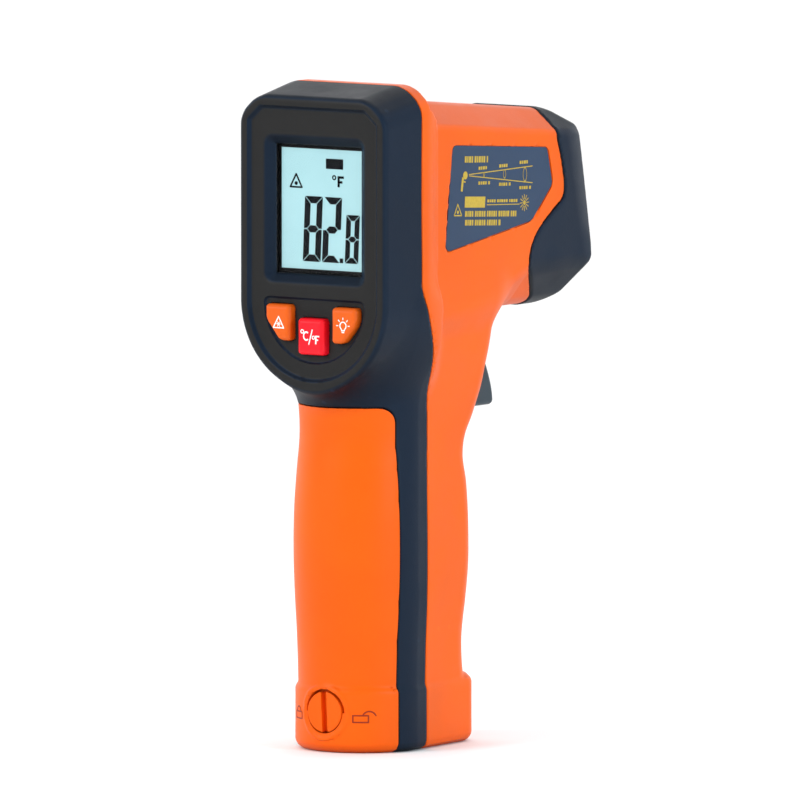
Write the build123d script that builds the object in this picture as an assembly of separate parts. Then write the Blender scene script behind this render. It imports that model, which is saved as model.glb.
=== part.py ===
"""Pistol-grip infrared thermometer, modelled as it would come apart on a bench.

Millimetres, +Z up, +Y the way the nose points, +X to the user's right. Shapes are laid out
about the middle of the foot, and ORIGIN_Y is where the row's origin lies: on the flat
underside of the dark frame, which the thermometer stands on.
"""
import math
import os

from build123d import *

# ---------------------------------------------------------------- driving dimensions
FAR = 90.0            # past the casing in any direction, for cutting blocks
TOP = 170.0           # above the casing
BELOW = -5.0          # below the foot
WALL = 2.0            # moulded wall
SEAM = 0.12           # half of the gap between two mouldings

FOOT_HEIGHT = 14.4
FOOT_HALF_WIDTH = 16.0
FOOT_REAR_Y = -24.3
FOOT_FRONT_Y = 21.3
FOOT_EDGE_RADIUS = 2.4
FRONT_CORNER = 8.0    # plan radius of the grip's two front corners
SIDE_TAPER = 0.1      # how much the grip's sides close in, per unit of length

# Grip stations: height, half width, rear Y, front Y.
GRIP = [
    (13.0, 15.2, -23.2, 18.9),
    (25.0, 15.7, -23.7, 17.7),
    (37.0, 16.2, -24.3, 19.2),
    (50.0, 16.3, -24.7, 20.1),
    (61.0, 16.1, -24.3, 19.3),
    (69.0, 15.8, -23.5, 18.2),
    (76.0, 15.6, -23.0, 21.0),
    (82.0, 16.2, -23.8, 25.2),
    (88.0, 17.4, -26.0, 27.0),
    (96.0, 19.2, -27.7, 27.9),
    (104.0, 20.6, -27.6, 28.3),
]

# Display head: outline at the face and at the flange.
FACE_Y, FLANGE_Y = -28.7, -14.6
FACE_TOP, FACE_CHAMFER_X, FACE_CHAMFER_Z, FACE_HALF = 155.8, 14.7, 149.7, 21.3
FLANGE_TOP, FLANGE_CHAMFER_X, FLANGE_CHAMFER_Z, FLANGE_HALF = 158.1, 15.2, 153.0, 22.0
BOWL_Z = 108.8        # centre height of the round lower end
RIM_WIDTH, RIM_DEPTH = 2.6, 1.0
FLANGE_WIDTH = 3.6
FLANGE_LOW = 112.0    # the flange band ends here and fades into the neck
CORNER_SLACK = 0.42   # share of an inset that keeps the cut corners parallel
KEY_PANEL_INSET, KEY_PANEL_TOP, KEY_PANEL_DEPTH = 6.4, 108.4, 0.35

# Barrel sections as (x, z) from the top edge down the right side.
BARREL_REAR_Y, BARREL_MID_Y, BARREL_NOSE_Y = -14.6, 48.0, 65.0
BARREL_REAR = [(10.4, 155.2), (20.9, 149.6), (21.0, 113.5), (17.2, 94.0), (8.0, 86.0)]
BARREL_MID = [(9.0, 149.2), (18.0, 144.0), (18.1, 117.5), (16.6, 109.5), (8.6, 100.6)]
BARREL_NOSE = [(6.2, 145.6), (12.6, 139.6), (13.6, 117.5), (12.4, 111.0), (6.6, 104.5)]

# Side view (y, z) of barrel and nose, drooping towards the nose.
NOSE_TOP = (51.5, 148.9)
NOSE_BROW = (58.2, 145.9)
NOSE_CHIN = (62.9, 116.0)
NOSE_LIP = (61.0, 110.6)
NOSE_KEEL = (50.5, 103.3)
NOSE_HEEL = (40.0, 102.9)
BARREL_THROAT = (32.4, 98.6)

# Boundary between orange barrel and dark nose, side view (y, z), top to bottom.
NOSE_SEAM = [
    (49.0, 152.0), (44.4, 145.0), (45.8, 139.5), (48.0, 132.5), (47.4, 128.6),
    (42.2, 124.0), (37.6, 119.5), (34.3, 113.9), (34.4, 111.6), (36.7, 108.6),
    (37.0, 106.4), (41.2, 100.0),
]
# Boundary between dark frame and orange front halves, side view (y, z), bottom to top.
FRAME_SEAM = [
    (-3.9, -2.0), (-3.9, 40.0), (-3.9, 85.0), (-7.2, 94.0), (-12.0, 103.5),
    (-14.6, 112.0), (-14.6, 162.0),
]
COVER_Y, COVER_TOP, COVER_CORNER = -14.2, 81.9, 4.0

# Display and keys, (x, z) seen from behind.
WINDOW_HALF_X, WINDOW_LOW, WINDOW_HIGH = 11.5, 114.9, 143.6
BEZEL_HALF_X, BEZEL_LOW, BEZEL_HIGH = 14.4, 112.3, 146.6
KEY_TRAVEL = 1.0
KEY_GAP = 0.2
SIDE_KEY_X, SIDE_KEY_HALF, KEY_LOW, KEY_HIGH = 9.8, 3.9, 97.9, 106.7
MID_KEY_HALF, MID_KEY_LOW, MID_KEY_HIGH = 3.9, 94.9, 103.6
KEY_CUT_X, KEY_CUT_Z = 3.4, 5.2      # the side keys' cut outer corner
KEY_TOP_Y, KEY_FLANGE_Y, KEY_POST_Y = -30.3, -25.5, -21.2
KEY_FLANGE, KEY_FLANGE_THICK = 0.5, 1.2
KEY_ROUND, KEY_BEVEL, KEY_POST = 0.9, 0.7, 1.9
KEY_CENTRES = [(-SIDE_KEY_X, 102.3), (0.0, 99.2), (SIDE_KEY_X, 102.3)]

# Optical axis, level and pointing forward.
PORT_Z, PORT_RADIUS = 133.0, 9.6
CONE_MOUTH, CONE_THROAT, LENS_RADIUS = 8.2, 4.6, 5.2
CONE_BACK, CONE_THROAT_Y, CONE_MOUTH_Y = 49.0, 52.0, 61.0
LENS_BACK, LENS_FRONT, LENS_BULGE = 50.4, 51.9, 20.0
TUBE_BACK, TUBE_RADIUS, TUBE_CORE, TUBE_BORE = 30.0, 7.0, 5.8, 4.4
TUBE_GROOVES, GROOVE_WIDTH = (34.0, 37.0, 40.0, 43.0), 1.2
PIN_SPOTS = [(1.8, 1.8), (-1.8, 1.8), (1.8, -1.8), (-1.8, -1.8)]
LASER_Z, LASER_RADIUS, LASER_APERTURE = 118.5, 3.0, 2.3

# Trigger and its pivot (y, z).
PIVOT_Y, PIVOT_Z, PIN_RADIUS = 25.0, 100.5, 1.25
TRIGGER_HALF, SLOT_HALF, HUB_RADIUS = 5.8, 6.2, 3.2
TRIGGER_OUTLINE = [
    (28.0, 101.1), (28.6, 98.6), (29.9, 95.4), (34.1, 89.0), (36.9, 81.0), (35.6, 78.5),
    (26.4, 78.5), (22.6, 81.5), (21.8, 100.5),
]
TRIGGER_SLOT_LOW = 77.6
SPRING_Y, SPRING_Z, SPRING_LENGTH = 13.4, 82.8, 8.2
SWITCH_Z, SWITCH_HALF, SWITCH_REAR, SWITCH_FRONT = 88.5, 3.2, 12.0, 18.4
PLUNGER_TIP_Y, PLUNGER_RADIUS = 21.6, 1.1

# Battery bay: two small cells side by side.
CELL_RADIUS, CELL_LENGTH, CELL_X, CELL_Y, CELL_LOW = 5.15, 43.7, 5.4, -12.4, 26.6
CELL_NUB = 0.8
TRAY_LOW, TRAY_HIGH, TRAY_HALF, TRAY_REAR, TRAY_FRONT = 22.8, 74.4, 11.6, -13.6, -5.9
TRAY_WALL, TRAY_FLOOR, TRAY_BOTTOM = 0.95, 1.2, 1.4
PLATE_HALF, PLATE_GAP, PLATE_REAR, PLATE_FRONT = 9.8, 1.6, -14.4, -8.0
PLATE_LOW, PLATE_HIGH, PLATE_THICK = 24.25, 72.5, 0.4

# Coin lock on the battery cover.
LOCK_Z, LOCK_RADIUS, SHAFT_RADIUS, TONGUE = 9.6, 4.8, 2.5, 5.0
LOCK_FACE_Y, LOCK_SEAT_Y, TONGUE_Y, SHAFT_END_Y = -23.9, -22.3, -17.4, -16.2
COIN_HALF, COIN_LENGTH, COIN_DEPTH = 0.78, 3.9, 1.0
GROOVE_Y, GROOVE_RADIUS, CLIP_RADIUS = -19.5, 1.9, 4.0
BOSS_RADIUS, BOSS_END_Y = 7.2, -19.6
PEG_X, PEG_LOW = 10.2, 76.2

# Arm of the frame under the lock's tongue, with a stop beside it.
ARM_HALF, ARM_REAR_Y, ARM_WEB_Y, ARM_FRONT_Y = 2.5, -19.0, -12.9, -6.0
ARM_LOW, ARM_HIGH, STOP_HIGH = 3.0, 3.8, 9.0

# Electronics behind the face: depths of the board and the display.
BOARD_Y, BOARD_THICK = -17.8, 1.6
BOARD_POSTS = [(16.7, 106.5), (-16.7, 106.5), (16.7, 145.0), (-16.7, 145.0)]
POST_RADIUS, POST_BORE, POST_BORE_DEPTH = 1.6, 1.1, 5.0
BOARD_OUTLINE = [
    (-18.2, 148.8), (-18.2, 104.2), (-9.6, 93.6), (9.6, 93.6), (18.2, 104.2), (18.2, 148.8),
]
MAT_OUTLINE = [
    (-14.6, 108.6), (-14.6, 101.0), (-8.6, 93.8), (8.6, 93.8), (14.6, 101.0), (14.6, 108.6),
]
MAT_Y, MAT_THICK = -18.9, 0.9

# Display stack, each sheet from its rear to its front depth.
COVER_SHEET, FRONT_GLASS = (-25.6, -24.7), (-24.5, -23.4)
BACK_GLASS, LIGHT_GUIDE = (-23.4, -22.2), (-22.1, -20.1)
PANEL_HALF, PANEL_LOW, PANEL_HIGH, GLASS_LOW = 12.9, 112.4, 145.4, 114.4
STRIP_HALF, STRIP_LOW, STRIP_HIGH = 11.0, 112.6, 114.0

# Housing screws (y, z), driven in from the user's left.
SCREWS = [(13.0, 9.5), (10.5, 62.0), (15.0, 108.5), (33.0, 110.5), (-5.6, 145.2)]
SCREW_HEAD_X, SCREW_TIP_X = -9.0, 9.5
SCREW_RADIUS, SCREW_HEAD_RADIUS, SCREW_HEAD_HEIGHT = 1.3, 2.6, 1.9
SCREW_BOSS, SCREW_PILOT, SCREW_CLEARANCE, SCREW_RECESS = 3.8, 1.35, 1.5, 2.9
CROSS_HALF, CROSS_LENGTH, CROSS_DEPTH = 0.4, 1.6, 0.9

# The side labels, (y, z).
LABEL = [(0.6, 143.8), (39.4, 140.2), (42.4, 131.2), (33.0, 124.0), (-2.4, 118.7)]
LABEL_DEPTH = 0.4

# Where the row's origin lies along the foot.
ORIGIN_Y = -9.0


# ---------------------------------------------------------------- helpers
def side_polygon(points, half=40.0):
    """A prism across X from a closed (y, z) outline."""
    face = make_face(Plane.YZ * Polyline([*points, points[0]]))
    return extrude(face, half, both=True)


def block(x0, x1, y0, y1, z0, z1):
    """An axis-aligned box from its corner values."""
    centre = ((x0 + x1) / 2, (y0 + y1) / 2, (z0 + z1) / 2)
    return Pos(*centre) * Box(x1 - x0, y1 - y0, z1 - z0)


def rod_x(radius, x0, x1, y, z):
    """A cylinder along X."""
    return Pos((x0 + x1) / 2, y, z) * Rot(0, 90, 0) * Cylinder(radius, x1 - x0)


def rod_y(radius, y0, y1, x, z):
    """A cylinder along Y."""
    return Pos(x, (y0 + y1) / 2, z) * Rot(90, 0, 0) * Cylinder(radius, y1 - y0)


def rod_z(radius, z0, z1, x, y):
    """A cylinder along Z."""
    return Pos(x, y, (z0 + z1) / 2) * Cylinder(radius, z1 - z0)


def cone_y(y0, r0, y1, r1, x, z):
    """A cone along Y from radius r0 at y0 to r1 at y1."""
    return Pos(x, (y0 + y1) / 2, z) * Rot(-90, 0, 0) * Cone(r0, r1, y1 - y0)


def plan_wire(z, half, rear_y, front_y, inset):
    """The grip from above: round behind, slightly tapered sides, rounded front corners."""
    tilt = math.atan(SIDE_TAPER)
    big, small = half - inset, FRONT_CORNER - inset
    rear_centre = rear_y + half
    front_centre = front_y - FRONT_CORNER
    reach = (big - small - (front_centre - rear_centre) * math.sin(tilt)) / math.cos(tilt)
    side = [
        (big * math.cos(tilt), rear_centre + big * math.sin(tilt)),
        (reach + small * math.cos(tilt), front_centre + small * math.sin(tilt)),
    ]
    middle = (tilt + math.pi / 2) / 2
    corner = (reach + small * math.cos(middle), front_centre + small * math.sin(middle))
    nose = (reach, front_centre + small)

    def mirrored(point):
        return (-point[0], point[1])

    edges = [
        ThreePointArc(mirrored(side[0]), (0, rear_centre - big), side[0]),
        Line(side[0], side[1]),
        ThreePointArc(side[1], corner, nose),
        Line(nose, mirrored(nose)),
        ThreePointArc(mirrored(nose), mirrored(corner), mirrored(side[1])),
        Line(mirrored(side[1]), mirrored(side[0])),
    ]
    return Pos(0, 0, z) * Wire(edges)


def foot(inset=0.0):
    """The flared foot with a rounded lower edge."""
    wire = plan_wire(inset, FOOT_HALF_WIDTH, FOOT_REAR_Y, FOOT_FRONT_Y, inset)
    solid = extrude(make_face(wire), FOOT_HEIGHT - inset, dir=(0, 0, 1))
    bottom = solid.faces().sort_by(Axis.Z)[0].edges()
    solid = fillet(bottom, FOOT_EDGE_RADIUS)
    if inset:
        return solid
    return chamfer(solid.faces().sort_by(Axis.Z)[-1].edges(), 0.4)


def grip(inset=0.0):
    """The hand grip, up into the head."""
    return Solid.make_loft([plan_wire(*station, inset) for station in GRIP])


def head_wire(y, half, chamfer_x, chamfer_z, top, inset):
    """Display head outline: straight sides, cut corners and a round lower end."""
    h = half - inset
    slack = inset * CORNER_SLACK
    cx, cz, t = chamfer_x - slack, chamfer_z - slack, top - inset
    points = [(-h, BOWL_Z), (-h, cz), (-cx, t), (cx, t), (h, cz), (h, BOWL_Z)]
    sides = [Line(p, q) for p, q in zip(points, points[1:])]
    bowl = ThreePointArc((h, BOWL_Z), (0, BOWL_Z - h), (-h, BOWL_Z))
    plane = Plane(origin=(0, y, 0), x_dir=(1, 0, 0), z_dir=(0, -1, 0))
    return plane * Wire([*sides, bowl])


def face_wire(y, inset):
    """The head outline as it is at the display face."""
    return head_wire(y, FACE_HALF, FACE_CHAMFER_X, FACE_CHAMFER_Z, FACE_TOP, inset)


def flange_wire(y, inset):
    """The head outline as it is at the flange."""
    return head_wire(y, FLANGE_HALF, FLANGE_CHAMFER_X, FLANGE_CHAMFER_Z, FLANGE_TOP, inset)


def face_prism(y0, y1, inset):
    """A straight prism of the display face's outline."""
    return extrude(make_face(face_wire(y0, inset)), y1 - y0, dir=(0, 1, 0))


def head(inset=0.0):
    """Dark head block plus the orange flange band in front of it."""
    if inset:
        return face_prism(FACE_Y + RIM_DEPTH + WALL, FLANGE_Y + FLANGE_WIDTH - WALL, inset)
    flare = Solid.make_loft([face_wire(FACE_Y, 0), flange_wire(FLANGE_Y, 0)], ruled=True)
    band = extrude(make_face(flange_wire(FLANGE_Y, 0)), FLANGE_WIDTH, dir=(0, 1, 0))
    upper = block(-FAR, FAR, FLANGE_Y, FLANGE_Y + FLANGE_WIDTH, FLANGE_LOW, TOP)
    return flare + (band & upper)


def barrel_wire(y, points, inset):
    """Closed barrel section from its right-hand points."""
    moved = []
    low, high = min(p[1] for p in points), max(p[1] for p in points)
    for x, z in points:
        share = (z - low) / (high - low)
        moved.append((x - inset, z - inset if share > 0.5 else z + inset * 0.6))
    ring = moved + [(-x, z) for x, z in reversed(moved)]
    plane = Plane(origin=(0, y, 0), x_dir=(1, 0, 0), z_dir=(0, -1, 0))
    return plane * Wire.make_polygon([Vector(*p, 0) for p in ring], close=True)


def barrel_profile(inset):
    """Side view of barrel and nose as a prism."""
    i = inset
    top_rear = (FLANGE_Y - 1, 155.3 - i)
    points = [
        top_rear,
        (NOSE_TOP[0] - i * 0.2, NOSE_TOP[1] - i),
        (NOSE_BROW[0] - i, NOSE_BROW[1] - i),
        (NOSE_CHIN[0] - i, NOSE_CHIN[1]),
        (NOSE_LIP[0] - i, NOSE_LIP[1] + i * 0.6),
        (NOSE_KEEL[0] - i * 0.4, NOSE_KEEL[1] + i),
        (NOSE_HEEL[0], NOSE_HEEL[1] + i),
        (BARREL_THROAT[0] - i * 0.5, BARREL_THROAT[1] + i),
        (20.0, 98.0), (20.0, 90.0), (FLANGE_Y - 1, 90.0),
    ]
    return side_polygon(points)


def barrel(inset=0.0):
    """Barrel and nose together, without the head and grip."""
    sections = [
        barrel_wire(BARREL_REAR_Y - 1, BARREL_REAR, inset),
        barrel_wire(BARREL_MID_Y, BARREL_MID, inset),
        barrel_wire(BARREL_NOSE_Y, BARREL_NOSE, inset),
    ]
    return Solid.make_loft(sections, ruled=True) & barrel_profile(inset)


def inner_body():
    """Everything that the mouldings leave hollow."""
    return foot(WALL) + grip(WALL) + head(WALL) + barrel(WALL)


# ---------------------------------------------------------------- parting regions
def shifted(points, dy):
    """A (y, z) line moved along Y."""
    return [(y + dy, z) for y, z in points]


def cover_region(gap):
    """Behind the cover's parting plane and below its top edge, with round corners."""
    y, top, r = COVER_Y - gap, COVER_TOP - gap, COVER_CORNER
    edges = [
        Line((-FAR, BELOW), (y, BELOW)),
        Line((y, BELOW), (y, top - r)),
        RadiusArc((y, top - r), (y - r, top), -r),
        Line((y - r, top), (-FAR, top)),
        Line((-FAR, top), (-FAR, BELOW)),
    ]
    return extrude(make_face(Plane.YZ * Wire(edges)), FAR, both=True)


def behind_frame_seam(gap):
    """Everything behind the line where the frame meets the front halves."""
    line = shifted(FRAME_SEAM, -gap)
    return side_polygon([(-FAR, BELOW), *line, (-FAR, TOP)])


def before_nose_seam(gap):
    """Everything in front of the line where the barrel meets the nose."""
    line = shifted(NOSE_SEAM, gap)
    foot_of_line = (50, 90)
    return side_polygon([*line, foot_of_line, (FAR, 90), (FAR, TOP), (49, TOP)])


# ---------------------------------------------------------------- casing pieces
def key_prism(which, grow, y0, y1):
    """A key's outline, grown, between two depths. which is -1, 0 or 1 from left to right."""
    if which == 0:
        half, low, high = MID_KEY_HALF + grow, MID_KEY_LOW - grow, MID_KEY_HIGH + grow
        points = [(-half, low), (half, low), (half, high), (-half, high)]
    else:
        inner = SIDE_KEY_X - SIDE_KEY_HALF - grow
        outer = SIDE_KEY_X + SIDE_KEY_HALF + grow
        low, high = KEY_LOW - grow, KEY_HIGH + grow
        cut_x, cut_z = outer - KEY_CUT_X, low + KEY_CUT_Z
        points = [(inner, low), (cut_x, low), (outer, cut_z), (outer, high), (inner, high)]
        points = [(which * x, z) for x, z in points]
    prism = extrude(make_face(rear_wire(y0, points)), y1 - y0, dir=(0, 1, 0))
    return fillet(prism.edges().filter_by(Axis.Y), KEY_ROUND + grow)


def rear_wire(y, points):
    """A closed (x, z) polygon standing at one depth."""
    return Wire.make_polygon([Vector(x, y, z) for x, z in points], close=True)


def rectangle(half, low, high):
    """Corners of an upright rectangle, (x, z)."""
    return [(-half, low), (half, low), (half, high), (-half, high)]


def window_cut():
    """The bevelled opening over the display."""
    outer = rectangle(BEZEL_HALF_X, BEZEL_LOW, BEZEL_HIGH)
    inner = rectangle(WINDOW_HALF_X, WINDOW_LOW, WINDOW_HIGH)
    near = rear_wire(FACE_Y + RIM_DEPTH - 0.01, outer)
    far = rear_wire(FACE_Y + RIM_DEPTH + WALL + 0.01, inner)
    return Solid.make_loft([near, far], ruled=True)


def key_panel_cut():
    """The shallow step around the three keys."""
    low = face_prism(FACE_Y - 1, FACE_Y + RIM_DEPTH + KEY_PANEL_DEPTH, KEY_PANEL_INSET)
    return low & block(-FAR, FAR, -FAR, 0, 0, KEY_PANEL_TOP)


def rear_frame(casing):
    """Dark frame: display face, neck and the strips down both sides of the grip."""
    solid = (casing & behind_frame_seam(SEAM)) - cover_region(-SEAM)
    solid -= face_prism(FACE_Y - 1, FACE_Y + RIM_DEPTH, RIM_WIDTH)
    solid -= window_cut()
    solid -= key_panel_cut()
    for which in (-1, 0, 1):
        solid -= key_prism(which, KEY_GAP, -40, -20)
    wall_inside = FACE_Y + RIM_DEPTH + WALL
    for x, z in BOARD_POSTS:
        solid += rod_y(POST_RADIUS, wall_inside - 0.3, BOARD_Y, x, z)
        solid -= rod_y(POST_BORE, BOARD_Y - POST_BORE_DEPTH, BOARD_Y + 1, x, z)
    web = block(-ARM_HALF, ARM_HALF, ARM_WEB_Y, ARM_FRONT_Y, 1.5, ARM_HIGH)
    arm = block(-ARM_HALF, ARM_HALF, ARM_REAR_Y, ARM_FRONT_Y, ARM_LOW, ARM_HIGH)
    stop = block(-ARM_HALF - 1.1, 0.1 - ARM_HALF, ARM_REAR_Y + 0.6, -15.0, ARM_LOW, STOP_HIGH)
    return solid + web + arm + stop


def battery_cover(casing):
    """Orange back of the grip, with the boss that carries the lock and two locating pegs."""
    solid = casing & cover_region(SEAM)
    solid += rod_y(BOSS_RADIUS, LOCK_SEAT_Y - 0.1, BOSS_END_Y, 0, LOCK_Z)
    solid -= rod_y(LOCK_RADIUS + 0.2, FOOT_REAR_Y - 3, LOCK_SEAT_Y + 0.1, 0, LOCK_Z)
    solid -= rod_y(SHAFT_RADIUS + 0.08, FOOT_REAR_Y - 3, SHAFT_END_Y, 0, LOCK_Z)
    for x in (-PEG_X, PEG_X):
        solid += block(x - 1.2, x + 1.2, -17.0, -10.6, PEG_LOW, PEG_LOW + 1.4)
    return solid


def front_half(casing, inner, label, side):
    """One orange half of barrel and grip. side is 1 for the right half, -1 for the left."""
    half_space = block(*sorted((side * SEAM * 0.6, side * FAR)), -FAR, FAR, BELOW, TOP)
    solid = (casing & half_space) - behind_frame_seam(-SEAM) - before_nose_seam(-SEAM)
    deep = (inner & half_space) - behind_frame_seam(-1.0) - before_nose_seam(-1.0)
    for y, z in SCREWS:
        solid += rod_x(SCREW_BOSS, *sorted((side * 0.15, side * FAR)), y, z) & deep
        if side > 0:
            solid -= rod_x(SCREW_PILOT, 0, SCREW_TIP_X + 2.5, y, z)
        else:
            solid -= rod_x(SCREW_RECESS, -FAR, SCREW_HEAD_X, y, z)
            solid -= rod_x(SCREW_CLEARANCE, SCREW_HEAD_X - 1, 1, y, z)
    solid += rod_x(3.0, *sorted((side * SLOT_HALF, side * FAR)), PIVOT_Y, PIVOT_Z) & deep
    solid -= rod_x(PIN_RADIUS + 0.03, -13, 13, PIVOT_Y, PIVOT_Z)
    solid -= block(-SLOT_HALF, SLOT_HALF, 20.0, 45.0, TRIGGER_SLOT_LOW, BARREL_THROAT[1])
    solid -= block(-SLOT_HALF, SLOT_HALF, 20.0, 30.5, 98.0, 101.0)
    return solid - label


def label_plate(outer, side, grow):
    """A side label: a thin slice of the barrel's skin inside the label outline."""
    mid_y = sum(p[0] for p in LABEL) / len(LABEL)
    mid_z = sum(p[1] for p in LABEL) / len(LABEL)
    points = [
        (0, y + math.copysign(grow, y - mid_y), z + math.copysign(grow, z - mid_z)) for y, z in LABEL
    ]
    wire = Wire.make_polygon([Vector(*p) for p in points], close=True)
    prism = extrude(make_face(wire), 40, dir=(side, 0, 0))
    prism = fillet(prism.edges().filter_by(Axis.X), 1.6)
    return (prism & outer) - Pos(-side * (LABEL_DEPTH + grow), 0, 0) * outer


def nose_bumper(casing):
    """Dark nose: the front of the barrel, with sleeves for the optics and the laser."""
    solid = casing & before_nose_seam(SEAM)
    solid += rod_y(PORT_RADIUS + 1.2, 50.0, 59.0, 0, PORT_Z)
    solid += rod_y(LASER_RADIUS + 1.3, 50.0, 61.0, 0, LASER_Z)
    solid -= rod_y(PORT_RADIUS, 40, 70, 0, PORT_Z)
    solid -= rod_y(LASER_RADIUS + 0.1, 40, 60.6, 0, LASER_Z)
    solid -= rod_y(LASER_APERTURE, 40, 70, 0, LASER_Z)
    return solid


# ---------------------------------------------------------------- lock
def cover_lock():
    """Coin-slotted disc, its shaft through the cover, and the tongue inside."""
    disc = rod_y(LOCK_RADIUS, LOCK_FACE_Y, LOCK_SEAT_Y, 0, LOCK_Z)
    low, high = LOCK_Z - COIN_LENGTH, LOCK_Z + COIN_LENGTH
    disc -= block(-COIN_HALF, COIN_HALF, LOCK_FACE_Y - 1, LOCK_FACE_Y + COIN_DEPTH, low, high)
    shaft = rod_y(SHAFT_RADIUS, LOCK_SEAT_Y - 0.1, SHAFT_END_Y, 0, LOCK_Z)
    tongue = block(-2.2, 2.2, TONGUE_Y, SHAFT_END_Y, LOCK_Z - TONGUE, LOCK_Z)
    groove = rod_y(SHAFT_RADIUS + 1, GROOVE_Y, GROOVE_Y + 0.8, 0, LOCK_Z)
    groove -= rod_y(GROOVE_RADIUS, GROOVE_Y - 1, GROOVE_Y + 2, 0, LOCK_Z)
    return disc + shaft + tongue - groove


def lock_clip():
    """Open retaining clip in the shaft's groove, behind the cover's boss."""
    ring = rod_y(CLIP_RADIUS, GROOVE_Y + 0.1, GROOVE_Y + 0.7, 0, LOCK_Z)
    ring -= rod_y(GROOVE_RADIUS + 0.05, GROOVE_Y - 1, GROOVE_Y + 2, 0, LOCK_Z)
    mouth = block(-1.6, 1.6, GROOVE_Y - 1, GROOVE_Y + 2, LOCK_Z, LOCK_Z + 6)
    return ring - mouth


# ---------------------------------------------------------------- optics
def port_cone():
    """Black insert in the nose, opening out in front of the lens."""
    solid = rod_y(PORT_RADIUS - 0.1, CONE_BACK, 64.0, 0, PORT_Z) & barrel_profile(0.2)
    solid -= cone_y(CONE_THROAT_Y, CONE_THROAT, CONE_MOUTH_Y, CONE_MOUTH, 0, PORT_Z)
    solid -= rod_y(CONE_THROAT, CONE_BACK - 1, CONE_THROAT_Y + 0.1, 0, PORT_Z)
    return solid - rod_y(LENS_RADIUS + 0.1, CONE_BACK - 1, CONE_THROAT_Y, 0, PORT_Z)


def ir_lens():
    """Biconvex disc in front of the sensor."""
    disc = rod_y(LENS_RADIUS, LENS_BACK, LENS_FRONT, 0, PORT_Z)
    front = Pos(0, LENS_FRONT - LENS_BULGE, PORT_Z) * Sphere(LENS_BULGE)
    back = Pos(0, LENS_BACK + LENS_BULGE, PORT_Z) * Sphere(LENS_BULGE)
    return disc & front & back


def lens_ring():
    """Ring that holds the lens in its seat."""
    ring = rod_y(LENS_RADIUS, LENS_BACK - 1.2, LENS_BACK - 0.1, 0, PORT_Z)
    return ring - rod_y(CONE_THROAT - 0.3, LENS_BACK - 2, LENS_BACK, 0, PORT_Z)


def optic_tube():
    """Aluminium light tube between lens and sensor, with cooling grooves."""
    solid = rod_y(TUBE_RADIUS, TUBE_BACK, CONE_BACK - 0.1, 0, PORT_Z)
    solid -= rod_y(TUBE_BORE, TUBE_BACK - 1, CONE_BACK + 1, 0, PORT_Z)
    for y in TUBE_GROOVES:
        groove = rod_y(TUBE_RADIUS + 1, y, y + GROOVE_WIDTH, 0, PORT_Z)
        solid -= groove - rod_y(TUBE_CORE, y, y + GROOVE_WIDTH, 0, PORT_Z)
    return solid


def thermopile_sensor():
    """Metal sensor can with its flange and a round window."""
    flange = rod_y(4.35, 30.1, 30.9, 0, PORT_Z)
    can = rod_y(4.0, 30.8, 34.2, 0, PORT_Z) - rod_y(2.2, 34.0, 35, 0, PORT_Z)
    return flange + can


def sensor_pins():
    """Four leads of the sensor, through its board."""
    return [rod_y(0.22, 27.2, 30.1, x, PORT_Z + z) for x, z in PIN_SPOTS]


def sensor_board():
    """Round board behind the light tube."""
    solid = rod_y(8.0, 28.3, 29.9, 0, PORT_Z)
    for x, z in PIN_SPOTS:
        solid -= rod_y(0.32, 27, 31, x, PORT_Z + z)
    return solid


def laser_module():
    """Brass laser barrel with a stepped back end."""
    front = rod_y(LASER_RADIUS, 46.0, 60.4, 0, LASER_Z) - rod_y(1.4, 58.0, 61, 0, LASER_Z)
    return front + rod_y(2.2, 43.0, 46.1, 0, LASER_Z)


# ---------------------------------------------------------------- trigger
def trigger():
    """Finger trigger hanging from its pin, with a rounded tip."""
    wire = Wire.make_polygon([Vector(0, y, z) for y, z in TRIGGER_OUTLINE], close=True)
    web = extrude(make_face(wire), TRIGGER_HALF, both=True)
    tips = web.edges().filter_by(Axis.X).sort_by(Axis.Y)[-2:]
    web = fillet(tips, 1.2)
    rims = web.edges().filter_by(lambda e: e.center().Y > 30.5 and abs(e.center().X) > 5)
    web = fillet(rims, 1.1)
    hub = rod_x(HUB_RADIUS, -TRIGGER_HALF, TRIGGER_HALF, PIVOT_Y, PIVOT_Z)
    return web + hub - rod_x(PIN_RADIUS + 0.05, -10, 10, PIVOT_Y, PIVOT_Z)


def coil(radius, wire, turns, length):
    """A compression spring standing on Z = 0, as a swept helix."""
    path = Helix(pitch=length / turns, height=length, radius=radius)
    profile = Plane(origin=path @ 0, z_dir=path % 0) * Circle(wire)
    return sweep(profile, path=path, is_frenet=True)


def trigger_spring():
    """Return spring between the switch bracket and the back of the trigger."""
    return Pos(0, SPRING_Y, SPRING_Z) * Rot(-90, 0, 0) * coil(2.0, 0.3, 6, SPRING_LENGTH)


def trigger_switch():
    """Switch body with a bracket behind the spring."""
    h, top = SWITCH_HALF, SWITCH_Z + SWITCH_HALF
    body = block(-h, h, SWITCH_REAR, SWITCH_FRONT, SWITCH_Z - h, top)
    bracket = block(-h, h, SWITCH_REAR - 2.5, SWITCH_REAR + 0.6, SPRING_Z - h, top)
    return body + bracket - rod_y(PLUNGER_RADIUS + 0.1, 14.0, 19.0, 0, SWITCH_Z)


def switch_plunger():
    """Round-ended plunger of the switch."""
    round_y = PLUNGER_TIP_Y - PLUNGER_RADIUS
    rod = rod_y(PLUNGER_RADIUS, SWITCH_FRONT - 0.8, round_y, 0, SWITCH_Z)
    return rod + Pos(0, round_y, SWITCH_Z) * Sphere(PLUNGER_RADIUS)


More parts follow.
